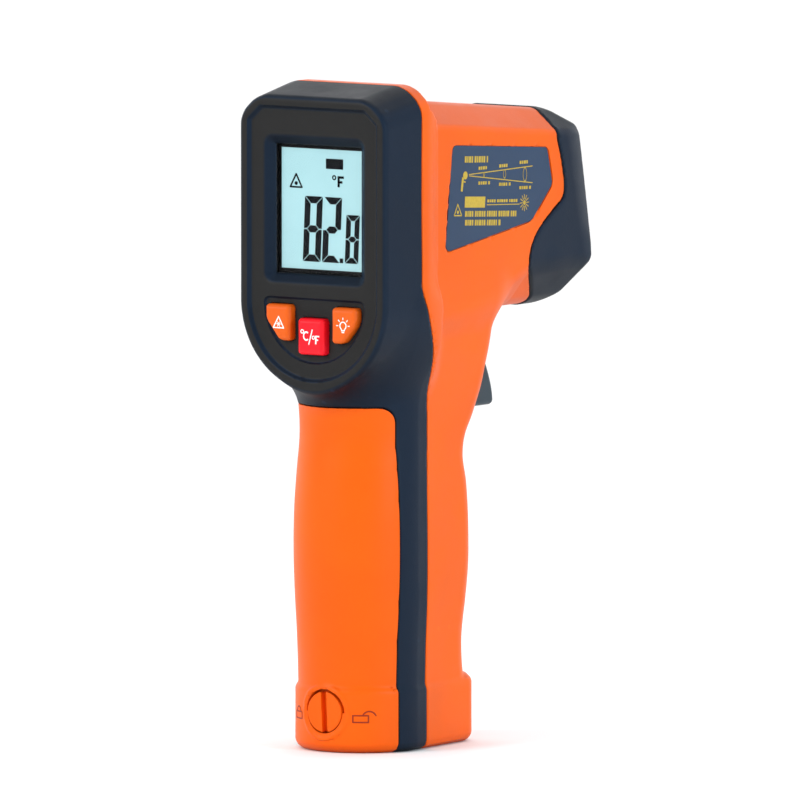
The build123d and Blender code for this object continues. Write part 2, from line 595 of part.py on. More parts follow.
# ---------------------------------------------------------------- keys and display
def key(which):
    """A push key: bevelled cap, flange behind the face and a post towards the keypad."""
    x, z = KEY_CENTRES[which + 1]
    flange_end = KEY_FLANGE_Y + KEY_FLANGE_THICK
    cap = key_prism(which, 0, KEY_TOP_Y, flange_end - 0.1)
    cap = chamfer(cap.faces().sort_by(Axis.Y)[0].edges(), KEY_BEVEL)
    flange = key_prism(which, KEY_FLANGE, KEY_FLANGE_Y, flange_end)
    return cap + flange + rod_y(KEY_POST, flange_end - 0.2, KEY_POST_Y, x, z)


def keypad_mat():
    """Rubber mat with a dome under each key."""
    mat = extrude(make_face(rear_wire(MAT_Y, MAT_OUTLINE)), MAT_THICK, dir=(0, 1, 0))
    for x, z in KEY_CENTRES:
        mat += cone_y(MAT_Y - 1.2, 2.2, MAT_Y + 0.1, 3.2, x, z)
        mat -= rod_y(2.0, MAT_Y - 0.5, MAT_Y + MAT_THICK + 0.5, x, z)
    return mat


def key_contacts():
    """Carbon pills under the keypad domes."""
    return [rod_y(1.4, MAT_Y - 0.4, MAT_Y + 0.1, x, z) for x, z in KEY_CENTRES]


def display_window():
    """Clear cover behind the bezel opening."""
    return block(-13.2, 13.2, *COVER_SHEET, 113.2, 145.3)


def display_panel():
    """Liquid-crystal panel: two sheets of glass, the lower one longer."""
    front = block(-PANEL_HALF, PANEL_HALF, *FRONT_GLASS, GLASS_LOW, PANEL_HIGH)
    return front + block(-PANEL_HALF, PANEL_HALF, *BACK_GLASS, PANEL_LOW, PANEL_HIGH)


def backlight():
    """Light guide behind the panel."""
    return block(-PANEL_HALF, PANEL_HALF, *LIGHT_GUIDE, GLASS_LOW, PANEL_HIGH)


def display_frame():
    """Open frame that holds panel and light guide over the board."""
    solid = block(-14.6, 14.6, -24.4, BOARD_Y - 0.05, 110.0, 146.8)
    solid -= block(-13.0, 13.0, -30.0, -20.0, 112.2, 145.6)
    return solid - block(-11.0, 11.0, -21.0, -17.0, 116.0, 143.0) - strip_slot(0.15)


def strip_slot(grow):
    """Room for the connecting strip between panel and board."""
    half = STRIP_HALF + grow
    return block(-half, half, BACK_GLASS[1] + 0.05, BOARD_Y, STRIP_LOW - grow, STRIP_HIGH + grow)


def contact_strip():
    """Elastomer strip that connects the panel to the board."""
    front = BACK_GLASS[1] + 0.05
    return block(-STRIP_HALF, STRIP_HALF, front, BOARD_Y - 0.02, STRIP_LOW, STRIP_HIGH)


def main_board():
    """Circuit board behind display and keys, shaped to the round lower end."""
    board = extrude(make_face(rear_wire(BOARD_Y, BOARD_OUTLINE)), BOARD_THICK, dir=(0, 1, 0))
    for x, z in BOARD_POSTS:
        board -= rod_y(1.2, -20, -15, x, z)
    return board


def board_screws():
    """Four screws that hold the board on its posts."""
    back = BOARD_Y + BOARD_THICK
    made = []
    for x, z in BOARD_POSTS:
        head = rod_y(1.9, back, back + 1.3, x, z) - rod_y(0.7, back + 0.6, back + 2, x, z)
        made.append(head + rod_y(0.95, BOARD_Y - 4.5, back + 0.1, x, z))
    return made


def controller_chip():
    """Main chip on the board's front side, with its row of legs along both edges."""
    back = BOARD_Y + BOARD_THICK
    body = block(-4.0, 4.0, back + 0.2, back + 1.6, 122.0, 130.0)
    for s in (-1, 1):
        for step in range(6):
            z = 122.8 + 1.2 * step
            body += block(*sorted((s * 3.9, s * 5.2)), back, back + 0.5, z, z + 0.5)
    return body


def buzzer():
    """Round sounder on the board."""
    back = BOARD_Y + BOARD_THICK
    return rod_y(4.5, back, back + 3.4, 10.0, 138.0) - rod_y(0.8, back + 2.4, back + 4, 10.0, 138.0)


# ---------------------------------------------------------------- power
def battery(up):
    """A small round cell with its raised positive end up or down."""
    x = -CELL_X if up else CELL_X
    top = CELL_LOW + CELL_LENGTH
    body = rod_z(CELL_RADIUS, CELL_LOW, top, x, CELL_Y)
    body = chamfer(body.edges(), 0.4)
    low, high = (top - 0.1, top + CELL_NUB) if up else (CELL_LOW - CELL_NUB, CELL_LOW + 0.1)
    return body + rod_z(1.9, low, high, x, CELL_Y)


def battery_tray():
    """Open tray inside the grip."""
    solid = block(-TRAY_HALF, TRAY_HALF, TRAY_REAR, TRAY_FRONT, TRAY_LOW, TRAY_HIGH)
    room, floor = TRAY_HALF - TRAY_WALL, TRAY_FRONT - TRAY_FLOOR
    return solid - block(-room, room, -FAR, floor, TRAY_LOW + TRAY_BOTTOM, TRAY_HIGH - TRAY_BOTTOM)


def contact_plate(x0, x1, low):
    """Flat sheet of a contact, lying across the end of the tray."""
    return block(x0, x1, PLATE_REAR, PLATE_FRONT, low, low + PLATE_THICK)


def bridge_contact():
    """Sheet contact under both cells, with a spring for one and a boss for the other."""
    plate = contact_plate(-PLATE_HALF, PLATE_HALF, PLATE_LOW)
    top = PLATE_LOW + PLATE_THICK
    boss = rod_z(1.8, top - 0.05, CELL_LOW - CELL_NUB - 0.05, CELL_X, CELL_Y)
    spring = Pos(-CELL_X, CELL_Y, top + 0.2) * coil(2.6, 0.28, 2, 1.4)
    return plate + boss + spring


def plus_contact():
    """Sheet contact above the cell whose positive end is up."""
    boss_end = CELL_LOW + CELL_LENGTH + CELL_NUB + 0.05
    plate = contact_plate(-PLATE_HALF, -PLATE_GAP, PLATE_HIGH)
    return plate + rod_z(1.8, boss_end, PLATE_HIGH + 0.1, -CELL_X, CELL_Y)


def minus_contact():
    """Sheet contact with a spring above the other cell."""
    plate = contact_plate(PLATE_GAP, PLATE_HALF, PLATE_HIGH)
    return plate + Pos(CELL_X, CELL_Y, 70.65) * coil(2.6, 0.28, 2, 1.7)


# ---------------------------------------------------------------- fasteners
def housing_screws():
    """Self-tapping screws that draw the two front halves together."""
    face = SCREW_HEAD_X - SCREW_HEAD_HEIGHT
    made = []
    for y, z in SCREWS:
        head = rod_x(SCREW_HEAD_RADIUS, face, SCREW_HEAD_X, y, z)
        for half_y, half_z in ((CROSS_HALF, CROSS_LENGTH), (CROSS_LENGTH, CROSS_HALF)):
            bottom = face + CROSS_DEPTH
            head -= block(face - 1, bottom, y - half_y, y + half_y, z - half_z, z + half_z)
        made.append(head + rod_x(SCREW_RADIUS, SCREW_HEAD_X - 0.1, SCREW_TIP_X, y, z))
    return made


def build():
    """Every piece by its node name."""
    outer_barrel = barrel()
    inner = inner_body()
    casing = (foot() + grip() + head() + outer_barrel) - inner
    recess = {side: label_plate(outer_barrel, side, 0.1) for side in (1, -1)}
    return {
        "rear_frame": rear_frame(casing),
        "housing_right": front_half(casing, inner, recess[1], 1),
        "housing_left": front_half(casing, inner, recess[-1], -1),
        "nose_bumper": nose_bumper(casing),
        "battery_cover": battery_cover(casing),
        "label_right": label_plate(outer_barrel, 1, 0),
        "label_left": label_plate(outer_barrel, -1, 0),
        "cover_lock": cover_lock(),
        "lock_clip": lock_clip(),
        "port_cone": port_cone(),
        "ir_lens": ir_lens(),
        "lens_ring": lens_ring(),
        "optic_tube": optic_tube(),
        "thermopile_sensor": thermopile_sensor(),
        "sensor_pins": sensor_pins(),
        "sensor_board": sensor_board(),
        "laser_module": laser_module(),
        "laser_window": rod_y(LASER_APERTURE - 0.1, 60.7, 61.5, 0, LASER_Z),
        "trigger": trigger(),
        "trigger_pin": rod_x(PIN_RADIUS, -9.5, 9.5, PIVOT_Y, PIVOT_Z),
        "trigger_spring": trigger_spring(),
        "trigger_switch": trigger_switch(),
        "switch_plunger": switch_plunger(),
        "key_laser": key(-1),
        "key_units": key(0),
        "key_light": key(1),
        "keypad_mat": keypad_mat(),
        "key_contacts": key_contacts(),
        "display_window": display_window(),
        "display_panel": display_panel(),
        "display_frame": display_frame(),
        "backlight": backlight(),
        "contact_strip": contact_strip(),
        "main_board": main_board(),
        "board_screws": board_screws(),
        "controller_chip": controller_chip(),
        "buzzer": buzzer(),
        "battery_tray": battery_tray(),
        "battery_left": battery(True),
        "battery_right": battery(False),
        "bridge_contact": bridge_contact(),
        "plus_contact": plus_contact(),
        "minus_contact": minus_contact(),
        "housing_screws": housing_screws(),
    }


def main():
    """Write one STEP file per node, in the row's frame."""
    os.makedirs("parts", exist_ok=True)
    for name, made in build().items():
        pieces = made if isinstance(made, list) else [made]
        solids = [solid for piece in pieces for solid in piece.solids()]
        shape = solids[0] if len(solids) == 1 else Compound(children=solids)
        export_step(Pos(0, -ORIGIN_Y, 0) * shape, f"parts/{name}.step")


if __name__ == "__main__":
    main()
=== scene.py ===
"""The looks of a pistol-grip infrared thermometer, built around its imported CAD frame."""
import math

import bpy
import numpy as np
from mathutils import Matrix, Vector


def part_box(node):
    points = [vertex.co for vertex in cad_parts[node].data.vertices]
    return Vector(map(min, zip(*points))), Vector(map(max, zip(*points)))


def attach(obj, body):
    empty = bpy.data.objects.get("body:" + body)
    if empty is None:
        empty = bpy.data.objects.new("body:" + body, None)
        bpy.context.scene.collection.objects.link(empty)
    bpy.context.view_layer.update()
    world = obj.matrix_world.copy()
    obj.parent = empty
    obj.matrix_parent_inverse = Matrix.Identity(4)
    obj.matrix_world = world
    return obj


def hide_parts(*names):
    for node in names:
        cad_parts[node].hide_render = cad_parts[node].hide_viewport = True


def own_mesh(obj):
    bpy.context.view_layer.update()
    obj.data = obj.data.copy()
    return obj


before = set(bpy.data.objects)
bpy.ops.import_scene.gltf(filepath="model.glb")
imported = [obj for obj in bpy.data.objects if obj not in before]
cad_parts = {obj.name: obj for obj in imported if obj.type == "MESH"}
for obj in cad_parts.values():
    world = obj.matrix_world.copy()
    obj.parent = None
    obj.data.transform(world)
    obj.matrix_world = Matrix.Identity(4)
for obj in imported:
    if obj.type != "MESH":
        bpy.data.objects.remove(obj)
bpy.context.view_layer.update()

# -------- dimensions, in millimetres
# Bench coordinates: X to the user's right, Y forward from the rear of the foot, Z up.
MM = 0.001
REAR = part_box("cover_lock")[0][1] / MM - 0.4  # the foot's rear in the frame's own Y
WALL = 1.9
SEAM = 0.14  # half of the gap between two mouldings
LAP, LAP_DEPTH = 1.0, 1.0  # the step that overlaps inside each seam
STEP = 0.5  # cell of the meshing grid
FINE = 0.25  # the same, for small pieces
SLANT = 0.7071  # turns the sum of two distances into one at 45 degrees

FOOT_TOP, FOOT_HALF, FOOT_FRONT = 15.3, 16.0, 45.6
FOOT_CORNER, FOOT_ROUND, FOOT_BEVEL = 6.0, 2.6, 1.2
GRIP_HALF = [(0, 15.5), (17, 15.5), (27, 15.8), (37, 16.2), (47, 16.3), (57, 16.2), (66, 15.9),
             (75, 15.5), (80, 15.6), (86, 16.2), (94, 17.4), (104, 18.5)]
GRIP_REAR = [(0, 0.9), (17, 0.8), (27, 0.5), (37, -0.1), (47, -0.5), (57, -0.3), (66, 0.5),
             (75, 1.4), (80, 1.2), (86, 0.6), (94, 0.2), (104, 0.0)]
GRIP_FRONT = [(0, 43.6), (15, 43.2), (20, 42.3), (25, 41.9), (34, 43.1), (43, 44.3), (52, 44.3),
              (62, 43.6), (69, 42.4), (73, 43.7), (78, 47.4), (84, 50.4), (90, 51.5), (96, 52.2),
              (104, 52.6)]
GRIP_TOP, GRIP_CORNER, GRIP_TAPER = 108.0, 7.0, 0.1

FACE_Y, FACE_HALF, FACE_TOP, FACE_CORNER = -4.4, 21.3, 155.4, 16.1
FLANGE_FRONT, FLANGE_HALF, FLANGE_SLOPE = 13.6, 22.0, (0.907, 0.42)
RUNOUT, RUNOUT_TOP, RUNOUT_HEIGHT = 5.5, 152.5, 3  # how far the flange runs on into the barrel
HEAD_SPREAD, HEAD_RISE, CUT_SPREAD = 0.05, 0.19, 0.04
CUT_SLOPE, HEAD_ROUND = (0.67, 0.742), 2.0
BOWL_Z = 107.0  # centre of the head's round lower end
RIM_WIDTH, RIM_DEPTH = 2.3, 0.9

# The barrel's and the nose's facets: factors of |X|, Y and Z, then an offset; negative inside.
BARREL_TOP, TOP_FALL, TOP_FROM = 153.2, 0.096, 26
SHOULDER_TOP, SHOULDER_FALL, SHOULDER_SLOPE = 147.9, 0.0907, (0.6, 0.8)
BARREL_HALF, BARREL_TAPER, BARREL_REAR = 19.5, 0.0515, 21
LOWER_SIDE, LOWER_SIDE_BULGE = (0.98, 0.078, -0.19, 0.68), 0.05
KEEL, KEEL_BULGE = (0.760, 0.223, -0.610, 41.95), 0.19
BULGE_FROM, BARREL_UNDER = 62.0, 101.7
NOSE_FACETS = [(0, 0.989, 0.149, -104.2), (0.88, 0.47, 0.10, -66.1), (0, 0.55, 0.835, -166.7),
               (0, 0.858, -0.513, -18.5), (0, 0.466, -0.885, 52.8)]

FRAME_SEAM = [(0, 20.4), (60, 20.4), (84, 20.4), (90.5, 18.6), (96.5, 16.0), (104, 12.2),
              (110, 9.9), (116, 9.7), (170, 9.7)]
COVER_FRONT, COVER_TOP, COVER_CORNER = 10.1, 81.9, 4.0
NOSE_SEAM = [(100, 70.5), (102, 71.0), (104.3, 69.8), (106.1, 67.7), (109.5, 63.4), (111.5, 61.2),
             (113.4, 60.6), (117.6, 61.2), (120, 62.8), (121.8, 64.8), (125.3, 70.3), (127.5, 73.6),
             (129.3, 74.3), (131, 74.3), (137.1, 73.0), (142.6, 71.3), (147, 72.0), (152, 72.6)]
NOSE_PROUD = 0.3

WINDOW_HALF, WINDOW_LOW, WINDOW_HIGH, WINDOW_CORNER = 14.7, 111.1, 146.2, 2.5
FACE_PLATE = 3.0  # thickness behind the display face
PANEL_TOP, PANEL_INSET, PANEL_DEPTH = 107.9, 6.6, 0.55
LIP_LOW, LIP_HIGH = 1.6, 156.5  # where the frame's inner lip ends

KEY_GAP, KEY_ROUND, KEY_BACK = 0.22, 0.9, -1.0
SIDE_KEY, SIDE_KEY_HALF, SIDE_KEY_CUT = (9.65, 101.9), (3.6, 4.25), (0.783, 0.622)
MID_KEY, MID_KEY_HALF = (0.0, 98.9), (3.85, 4.3)
KEY_FRONT, KEY_BEVEL, KEY_DISH, DISH_SPREAD = -5.3, 0.8, 0.18, 12

LOCK_Z, LOCK_RADIUS, RING_RADIUS, RING_HALF = 9.6, 4.85, 6.3, 0.42
LOCK_GAP_LOW, LOCK_GAP_HIGH = 0.22, 0.6  # the well is wider in its upper half
LOCK_FRONT, LOCK_BACK, WELL_BOTTOM, SLOT_BOTTOM = 0.45, 2.5, 2.6, 2.0
COIN_HALF, LOCK_TILT = 0.78, math.radians(3)
SHAFT, SHAFT_HOLE, SHAFT_END = 2.45, 2.6, 8.1
COVER_BOSS, BOSS_LOW, BOSS_HIGH = 7.0, 1.0, 4.7

SCREW_POST, SCREW_WELL, POST_END, WELL_END = 3.7, 2.85, -7.5, -9.0
SCREWS = [(37.3, 9.5), (34.8, 62.0), (39.3, 108.5), (57.3, 110.5), (18.7, 145.2)]
LABEL = [(25.6, 143.2), (67.4, 140.1), (69.8, 131.1), (60.6, 122.7), (22.4, 117.7)]
LABEL_DEPTH, LABEL_ROUND = 0.45, 1.6
LABEL_MIRROR = 89.0  # Y of a mark plus Y of its left-side twin

PORT_Z, PORT_HOLE, PORT_SLEEVE, SLEEVE_REAR = 133.0, 9.5, 1.4, 76.0
LASER_Z, LASER_HOLE, LASER_SLEEVE, LASER_REAR = 118.5, 2.3, 2.0, 78.0
BORE_REAR = 70
PORT_REAR, PORT_FRONT, PORT_OUTER, PORT_INNER = 73.4, 83.4, 9.3, 4.65
RIDGES, RIDGE_STEP, RIDGE_DROP = 7, 0.5, 0.95

TRIGGER_FRONT = [(78, 61.5), (81, 61.2), (89, 58.2), (95.4, 54.4), (98.6, 53.0), (101, 52.2)]
TRIGGER_LOW, TRIGGER_HIGH, TRIGGER_HALF = 78.4, 100.5, 5.75
PIVOT, HUB, PIN_HOLE = (49.3, 100.5), 3.2, 1.3
TRIGGER_SLOT_HALF, TRIGGER_SLOT_LOW, TRIGGER_SLOT_HIGH = 6.2, 77.3, 101.2
TRIGGER_SLOT_REAR = 46.0

SPRING_RADIUS, SPRING_WIRE, SPRING_TURNS, SPRING_Z = 2.0, 0.3, 7, 82.8
SPRING_REAR, SPRING_FRONT = 37.1, 45.9
SPRING_REST = [(0.0, 0.0), (0.12, 0.05), (0.88, 0.95), (1.0, 1.0)]


# -------- distance fields
def curve(t, knots):
    """A smooth curve through (t, value) knots, flat beyond both ends."""
    kt = np.array([k[0] for k in knots], float)
    kv = np.array([k[1] for k in knots], float)
    slope = np.gradient(kv, kt)
    i = np.clip(np.searchsorted(kt, t) - 1, 0, len(kt) - 2)
    h = kt[i + 1] - kt[i]
    u = np.clip((t - kt[i]) / h, 0, 1)
    a = kv[i] * (1 + 2 * u) * (1 - u) ** 2 + slope[i] * h * u * (1 - u) ** 2
    return a + kv[i + 1] * u**2 * (3 - 2 * u) - slope[i + 1] * h * u**2 * (1 - u)


def both(a, b, r=0.0):
    """What lies inside a and b, with the edge between them rounded to radius r."""
    if not r:
        return np.maximum(a, b)
    rounded = np.hypot(np.maximum(a + r, 0), np.maximum(b + r, 0))
    return np.minimum(np.maximum(a, b), -r) + rounded


def either(a, b, r=0.0):
    """What lies inside a or b, with a fillet of radius r where they meet."""
    return -both(-a, -b, r)


def all_of(fields, r=0.0):
    """What lies inside every field."""
    made = fields[0]
    for field in fields[1:]:
        made = both(made, field, r)
    return made


def slab(t, low, high):
    """Distance to the space between two parallel planes."""
    return np.maximum(low - t, t - high)


def rounded_box(u, v, half_u, half_v, r):
    """Distance to a rounded rectangle about (0, 0)."""
    qu, qv = np.abs(u) - half_u + r, np.abs(v) - half_v + r
    outside = np.hypot(np.maximum(qu, 0), np.maximum(qv, 0))
    return outside + np.minimum(np.maximum(qu, qv), 0) - r


def polygon(u, v, corners, r=0.0):
    """Distance to a convex polygon whose corners are rounded to radius r."""
    middle = np.mean(corners, axis=0)
    made = None
    for (u0, v0), (u1, v1) in zip(corners, corners[1:] + corners[:1]):
        nu, nv = v1 - v0, u0 - u1
        size = math.hypot(nu, nv)
        if nu * (middle[0] - u0) + nv * (middle[1] - v0) > 0:
            size = -size
        edge = (nu * (u - u0) + nv * (v - v0)) / size
        made = edge if made is None else both(made, edge, r)
    return made


def grip_section(x, y, half, rear, front, corner):
    """Plan of the grip: round behind, slightly tapered sides, rounded corners in front."""
    centre = rear + half
    behind = np.hypot(x, y - centre) - half
    beside = np.abs(x) - half + GRIP_TAPER * (y - centre)
    return both(np.where(y < centre, behind, beside), y - front, corner)


def grip(x, y, z):
    """The hand grip, from the floor up into the head."""
    half, rear, front = curve(z, GRIP_HALF), curve(z, GRIP_REAR), curve(z, GRIP_FRONT)
    section = grip_section(x, y, half, rear, front, GRIP_CORNER)
    return both(both(section, z - GRIP_TOP, 3.0), 1.0 - z)


def foot(x, y, z):
    """The flared foot, rounded below and bevelled above."""
    section = grip_section(x, y, FOOT_HALF, 0.0, FOOT_FRONT, FOOT_CORNER)
    bevel = (section + z - FOOT_TOP + 0.5) * SLANT
    return all_of([both(section, -z, FOOT_ROUND), z - FOOT_TOP - FOOT_BEVEL, bevel], 0.5)


def head_section(x, y, z):
    """Outline of the display head: cut top corners, straight sides, round lower end."""
    forward = np.clip(y - FACE_Y, 0, FLANGE_FRONT - FACE_Y - 4)
    half = FACE_HALF + HEAD_SPREAD * forward
    side = np.where(z > BOWL_Z, np.abs(x) - half, np.hypot(x, z - BOWL_Z) - half)
    top = z - FACE_TOP - HEAD_RISE * forward
    cut = (np.abs(x) - FACE_CORNER - CUT_SPREAD * forward) * CUT_SLOPE[0] + top * CUT_SLOPE[1]
    return both(both(side, cut, HEAD_ROUND), top, HEAD_ROUND)


def head(x, y, z):
    """The dark display head together with the orange flange in front of it."""
    section = both(head_section(x, y, z), FACE_Y - y, 1.3)
    flank = FLANGE_SLOPE[0] * (np.abs(x) - FLANGE_HALF) + FLANGE_SLOPE[1] * (y - FLANGE_FRONT)
    front = y - FLANGE_FRONT - RUNOUT * np.clip((RUNOUT_TOP - z) / RUNOUT_HEIGHT, 0, 1)
    return both(both(section, front, 0.5), flank, 0.9)


def barrel_side(y):
    """Half width of the barrel's flat side at each Y."""
    return BARREL_HALF - BARREL_TAPER * (y - BARREL_REAR)


def facet(ax, y, z, plane):
    """Distance to one flat facet."""
    return plane[0] * ax + plane[1] * y + plane[2] * z + plane[3]


def barrel(x, y, z):
    """Barrel and nose: flat facets with softly rounded edges."""
    ax = np.abs(x)
    bulge = np.maximum(y - BULGE_FROM, 0)
    top = z - BARREL_TOP + TOP_FALL * (y - TOP_FROM)
    side = ax - barrel_side(y)
    crest = z - SHOULDER_TOP + SHOULDER_FALL * (y - BARREL_REAR)
    shoulder = SHOULDER_SLOPE[0] * side + SHOULDER_SLOPE[1] * crest
    lower_side = facet(ax, y, z, LOWER_SIDE) - LOWER_SIDE_BULGE * bulge
    keel = facet(ax, y, z, KEEL) - KEEL_BULGE * bulge
    flanks = all_of([top, shoulder, side, lower_side, keel], 0.9)
    flanks = both(flanks, BARREL_UNDER - z, 2.5)
    nose = all_of([facet(ax, y, z, plane) for plane in NOSE_FACETS], 1.1)
    return both(both(flanks, nose, 1.6), 8.0 - y, 0.5)


def body(x, y, z):
    """The whole outside of the casing."""
    upper = either(head(x, y, z), barrel(x, y, z), 0.7)
    made = either(upper, grip(x, y, z), 7.0)
    made = np.maximum(made, FACE_Y - y)
    return either(made, foot(x, y, z), 0.4)


# -------- meshing
def gradient(field, p):
    """Unit outward normals of a field at points p."""
    h = 0.03
    made = np.empty_like(p)
    for axis in range(3):
        d = np.zeros(3)
        d[axis] = h
        made[:, axis] = field(*(p + d).T) - field(*(p - d).T)
    return made / np.maximum(np.linalg.norm(made, axis=1, keepdims=True), 1e-9)


def crossings(field, grid, values, axis):
    """Where the surface cuts the grid's edges along one axis, and the cells' first corners."""
    n = values.shape[axis]
    near = values.take(range(n - 1), axis)
    far = values.take(range(1, n), axis)
    index = np.argwhere((near < 0) != (far < 0))
    start = np.stack([grid[k][index[:, k]] for k in range(3)], axis=1)
    a = near[tuple(index.T)].astype(float)
    b = far[tuple(index.T)].astype(float)
    length = grid[axis][1] - grid[axis][0]
    low, high = np.zeros(len(a)), np.ones(len(a))
    t = a / (a - b)
    for _ in range(4):
        p = start.copy()
        p[:, axis] += t * length
        v = field(*p.T)
        same = (v < 0) == (a < 0)
        low = np.where(same, t, low)
        high = np.where(same, high, t)
        a_now = np.where(same, v, a)
        b_now = np.where(same, b, v)
        share = a_now / np.where(a_now == b_now, 1, a_now - b_now)
        t = low + (high - low) * np.clip(share, 0.1, 0.9)
        a, b = a_now, b_now
    p = start.copy()
    p[:, axis] += t * length
    return index, p, values[tuple(index.T)] < 0


def contour(field, low, high, step=STEP):
    """Vertices and quads of a field's zero surface, with sharp features kept (dual contouring)."""
    grid = [np.arange(low[k], high[k] + step, step) for k in range(3)]
    shape = tuple(len(g) for g in grid)
    values = np.empty(shape, np.float32)
    for i, x in enumerate(grid[0]):
        values[i] = field(x, grid[1][:, None], grid[2][None, :])
    cell_count = shape[0] * shape[1] * shape[2]
    strides = (shape[1] * shape[2], shape[2], 1)
    cells, points, normals, quads = [], [], [], []
    for axis in range(3):
        index, p, inside = crossings(field, grid, values, axis)
        n = gradient(field, p)
        others = [k for k in range(3) if k != axis]
        around = []
        for du, dv in ((0, 0), (-1, 0), (-1, -1), (0, -1)):
            cell = index.copy()
            cell[:, others[0]] += du
            cell[:, others[1]] += dv
            around.append(cell @ np.array(strides))
        around = np.stack(around, axis=1)
        flip = inside == (axis != 1)
        around[flip] = around[flip][:, ::-1]
        quads.append(around)
        cells.append(around.ravel())
        points.append(np.repeat(p, 4, axis=0))
        normals.append(np.repeat(n, 4, axis=0))
    quads = np.vstack(quads)
    cells, points, normals = np.concatenate(cells), np.vstack(points), np.vstack(normals)
    used, slot = np.unique(cells, return_inverse=True)
    count = np.bincount(slot).astype(float)
    mass = np.stack([np.bincount(slot, points[:, k]) for k in range(3)], axis=1) / count[:, None]
    ata = np.empty((len(used), 3, 3))
    for i in range(3):
        for j in range(3):
            ata[:, i, j] = np.bincount(slot, normals[:, i] * normals[:, j])
    offset = np.einsum("ij,ij->i", normals, points - mass[slot])
    atb = np.stack([np.bincount(slot, normals[:, k] * offset) for k in range(3)], axis=1)
    ata += np.eye(3) * 0.08
    moved = np.linalg.solve(ata, atb[:, :, None])[:, :, 0]
    corner = np.stack(np.unravel_index(used, shape), axis=1)
    origin = np.array([g[0] for g in grid])
    cell_low = origin + corner * step
    verts = np.clip(mass + moved, cell_low - 0.1 * step, cell_low + 1.1 * step)
    lookup = np.full(cell_count, -1)
    lookup[used] = np.arange(len(used))
    return verts, lookup[quads]


def to_frame(verts):
    """Bench millimetres to the frame's metres."""
    return (np.asarray(verts) + np.array([0.0, REAR, 0.0])) * MM


def mesh_object(name, verts, faces, material=None, smooth=40.0):
    """A mesh object, smooth except across edges sharper than the given angle."""
    mesh = bpy.data.meshes.new(name)
    rings = faces if isinstance(faces, list) else faces.tolist()
    mesh.from_pydata(np.asarray(verts).tolist(), [], rings)
    mesh.validate()
    mesh.update()
    mesh.shade_smooth()
    mesh.set_sharp_from_angle(angle=math.radians(smooth))
    made = bpy.data.objects.new(name, mesh)
    bpy.context.collection.objects.link(made)
    if material:
        mesh.materials.append(material)
    return made


def moulding(name, field, low, high, material, step=STEP):
    """A moulded piece from its field, meshed and set in the frame."""
    verts, quads = contour(field, low, high, step)
    return mesh_object(name, to_frame(verts), quads, material)


# -------- where one moulding ends
def ahead(y, z, knots):
    """Negative in front of the seam through these (Z, Y) knots, as a distance."""
    slope = (curve(z + 0.2, knots) - curve(z - 0.2, knots)) / 0.4
    return (curve(z, knots) - y) * (1 / np.hypot(1, slope))


def front_part(y, z):
    """Negative in front of the seam between the dark frame and the orange halves."""
    return ahead(y, z, FRAME_SEAM)


def nose_part(y, z):
    """Negative in front of the seam between barrel and nose."""
    return ahead(y, z, NOSE_SEAM)


def cover_part(y, z):
    """Negative behind and below the battery cover's edge."""
    return both(y - COVER_FRONT, z - COVER_TOP, COVER_CORNER)


def lip(outside, other_side):
    """Inner half of the wall, reaching a little under the neighbour across a seam."""
    return np.maximum(np.maximum(outside + LAP_DEPTH, -outside - WALL), other_side - LAP)


def without_lip(solid, outside, other_side):
    """The solid with room for its neighbour's lip. other_side is negative beyond the seam."""
    room = np.maximum(outside + LAP_DEPTH - 0.15, other_side - LAP - 0.15)
    return np.maximum(solid, -room)


def rod(radius, u, v, at_u, at_v):
    """Distance to an endless round bar that crosses the plane of u and v squarely."""
    return np.hypot(u - at_u, v - at_v) - radius


# -------- mouldings
def key_outline(which, x, z):
    """Outline of a key: -1 left, 0 middle, 1 right."""
    if which == 0:
        return rounded_box(x - MID_KEY[0], z - MID_KEY[1], *MID_KEY_HALF, KEY_ROUND)
    u, v = x * which - SIDE_KEY[0], z - SIDE_KEY[1]
    cut = (u + 0.3) * SIDE_KEY_CUT[0] - (v + SIDE_KEY_HALF[1]) * SIDE_KEY_CUT[1]
    return both(rounded_box(u, v, *SIDE_KEY_HALF, KEY_ROUND), cut, KEY_ROUND)


def face_details(x, y, z):
    """What is cut into the display face."""
    depth = y - FACE_Y
    section = head_section(x, FACE_Y, z)
    rim = both(section + RIM_WIDTH + depth * 0.9, depth - RIM_DEPTH, 0.2)
    panel_edge = both(section + PANEL_INSET, z - PANEL_TOP, 1.6)
    panel = both(panel_edge + (depth - RIM_DEPTH) * 0.8, depth - RIM_DEPTH - PANEL_DEPTH, 0.15)
    middle = (WINDOW_LOW + WINDOW_HIGH) / 2
    window = rounded_box(x, z - middle, WINDOW_HALF, (WINDOW_HIGH - WINDOW_LOW) / 2, WINDOW_CORNER)
    window = both((window + (depth - RIM_DEPTH) * 1.15) * 0.66, depth - 6.0, 0.1)
    made = either(either(rim, panel), window, 0.35)
    for which in (-1, 0, 1):
        made = np.minimum(made, both(key_outline(which, x, z) - KEY_GAP, depth - 9.0))
    return made


def rear_frame_field(x, y, z):
    """Dark frame: face, neck and the strips down both sides of the grip."""
    outside = body(x, y, z)
    front, cover = -front_part(y, z), -cover_part(y, z)
    skin = both(both(outside, front + SEAM, 0.3), cover + SEAM, 0.3)
    solid = np.maximum(skin, -outside - WALL)
    inner = np.maximum(lip(outside, front), cover - LAP)
    solid = np.minimum(solid, np.maximum(inner, slab(z, LIP_LOW, LIP_HIGH)))
    solid = np.minimum(solid, np.maximum(skin, y - FACE_Y - FACE_PLATE))
    return both(solid, -face_details(x, y, z), 0.2)


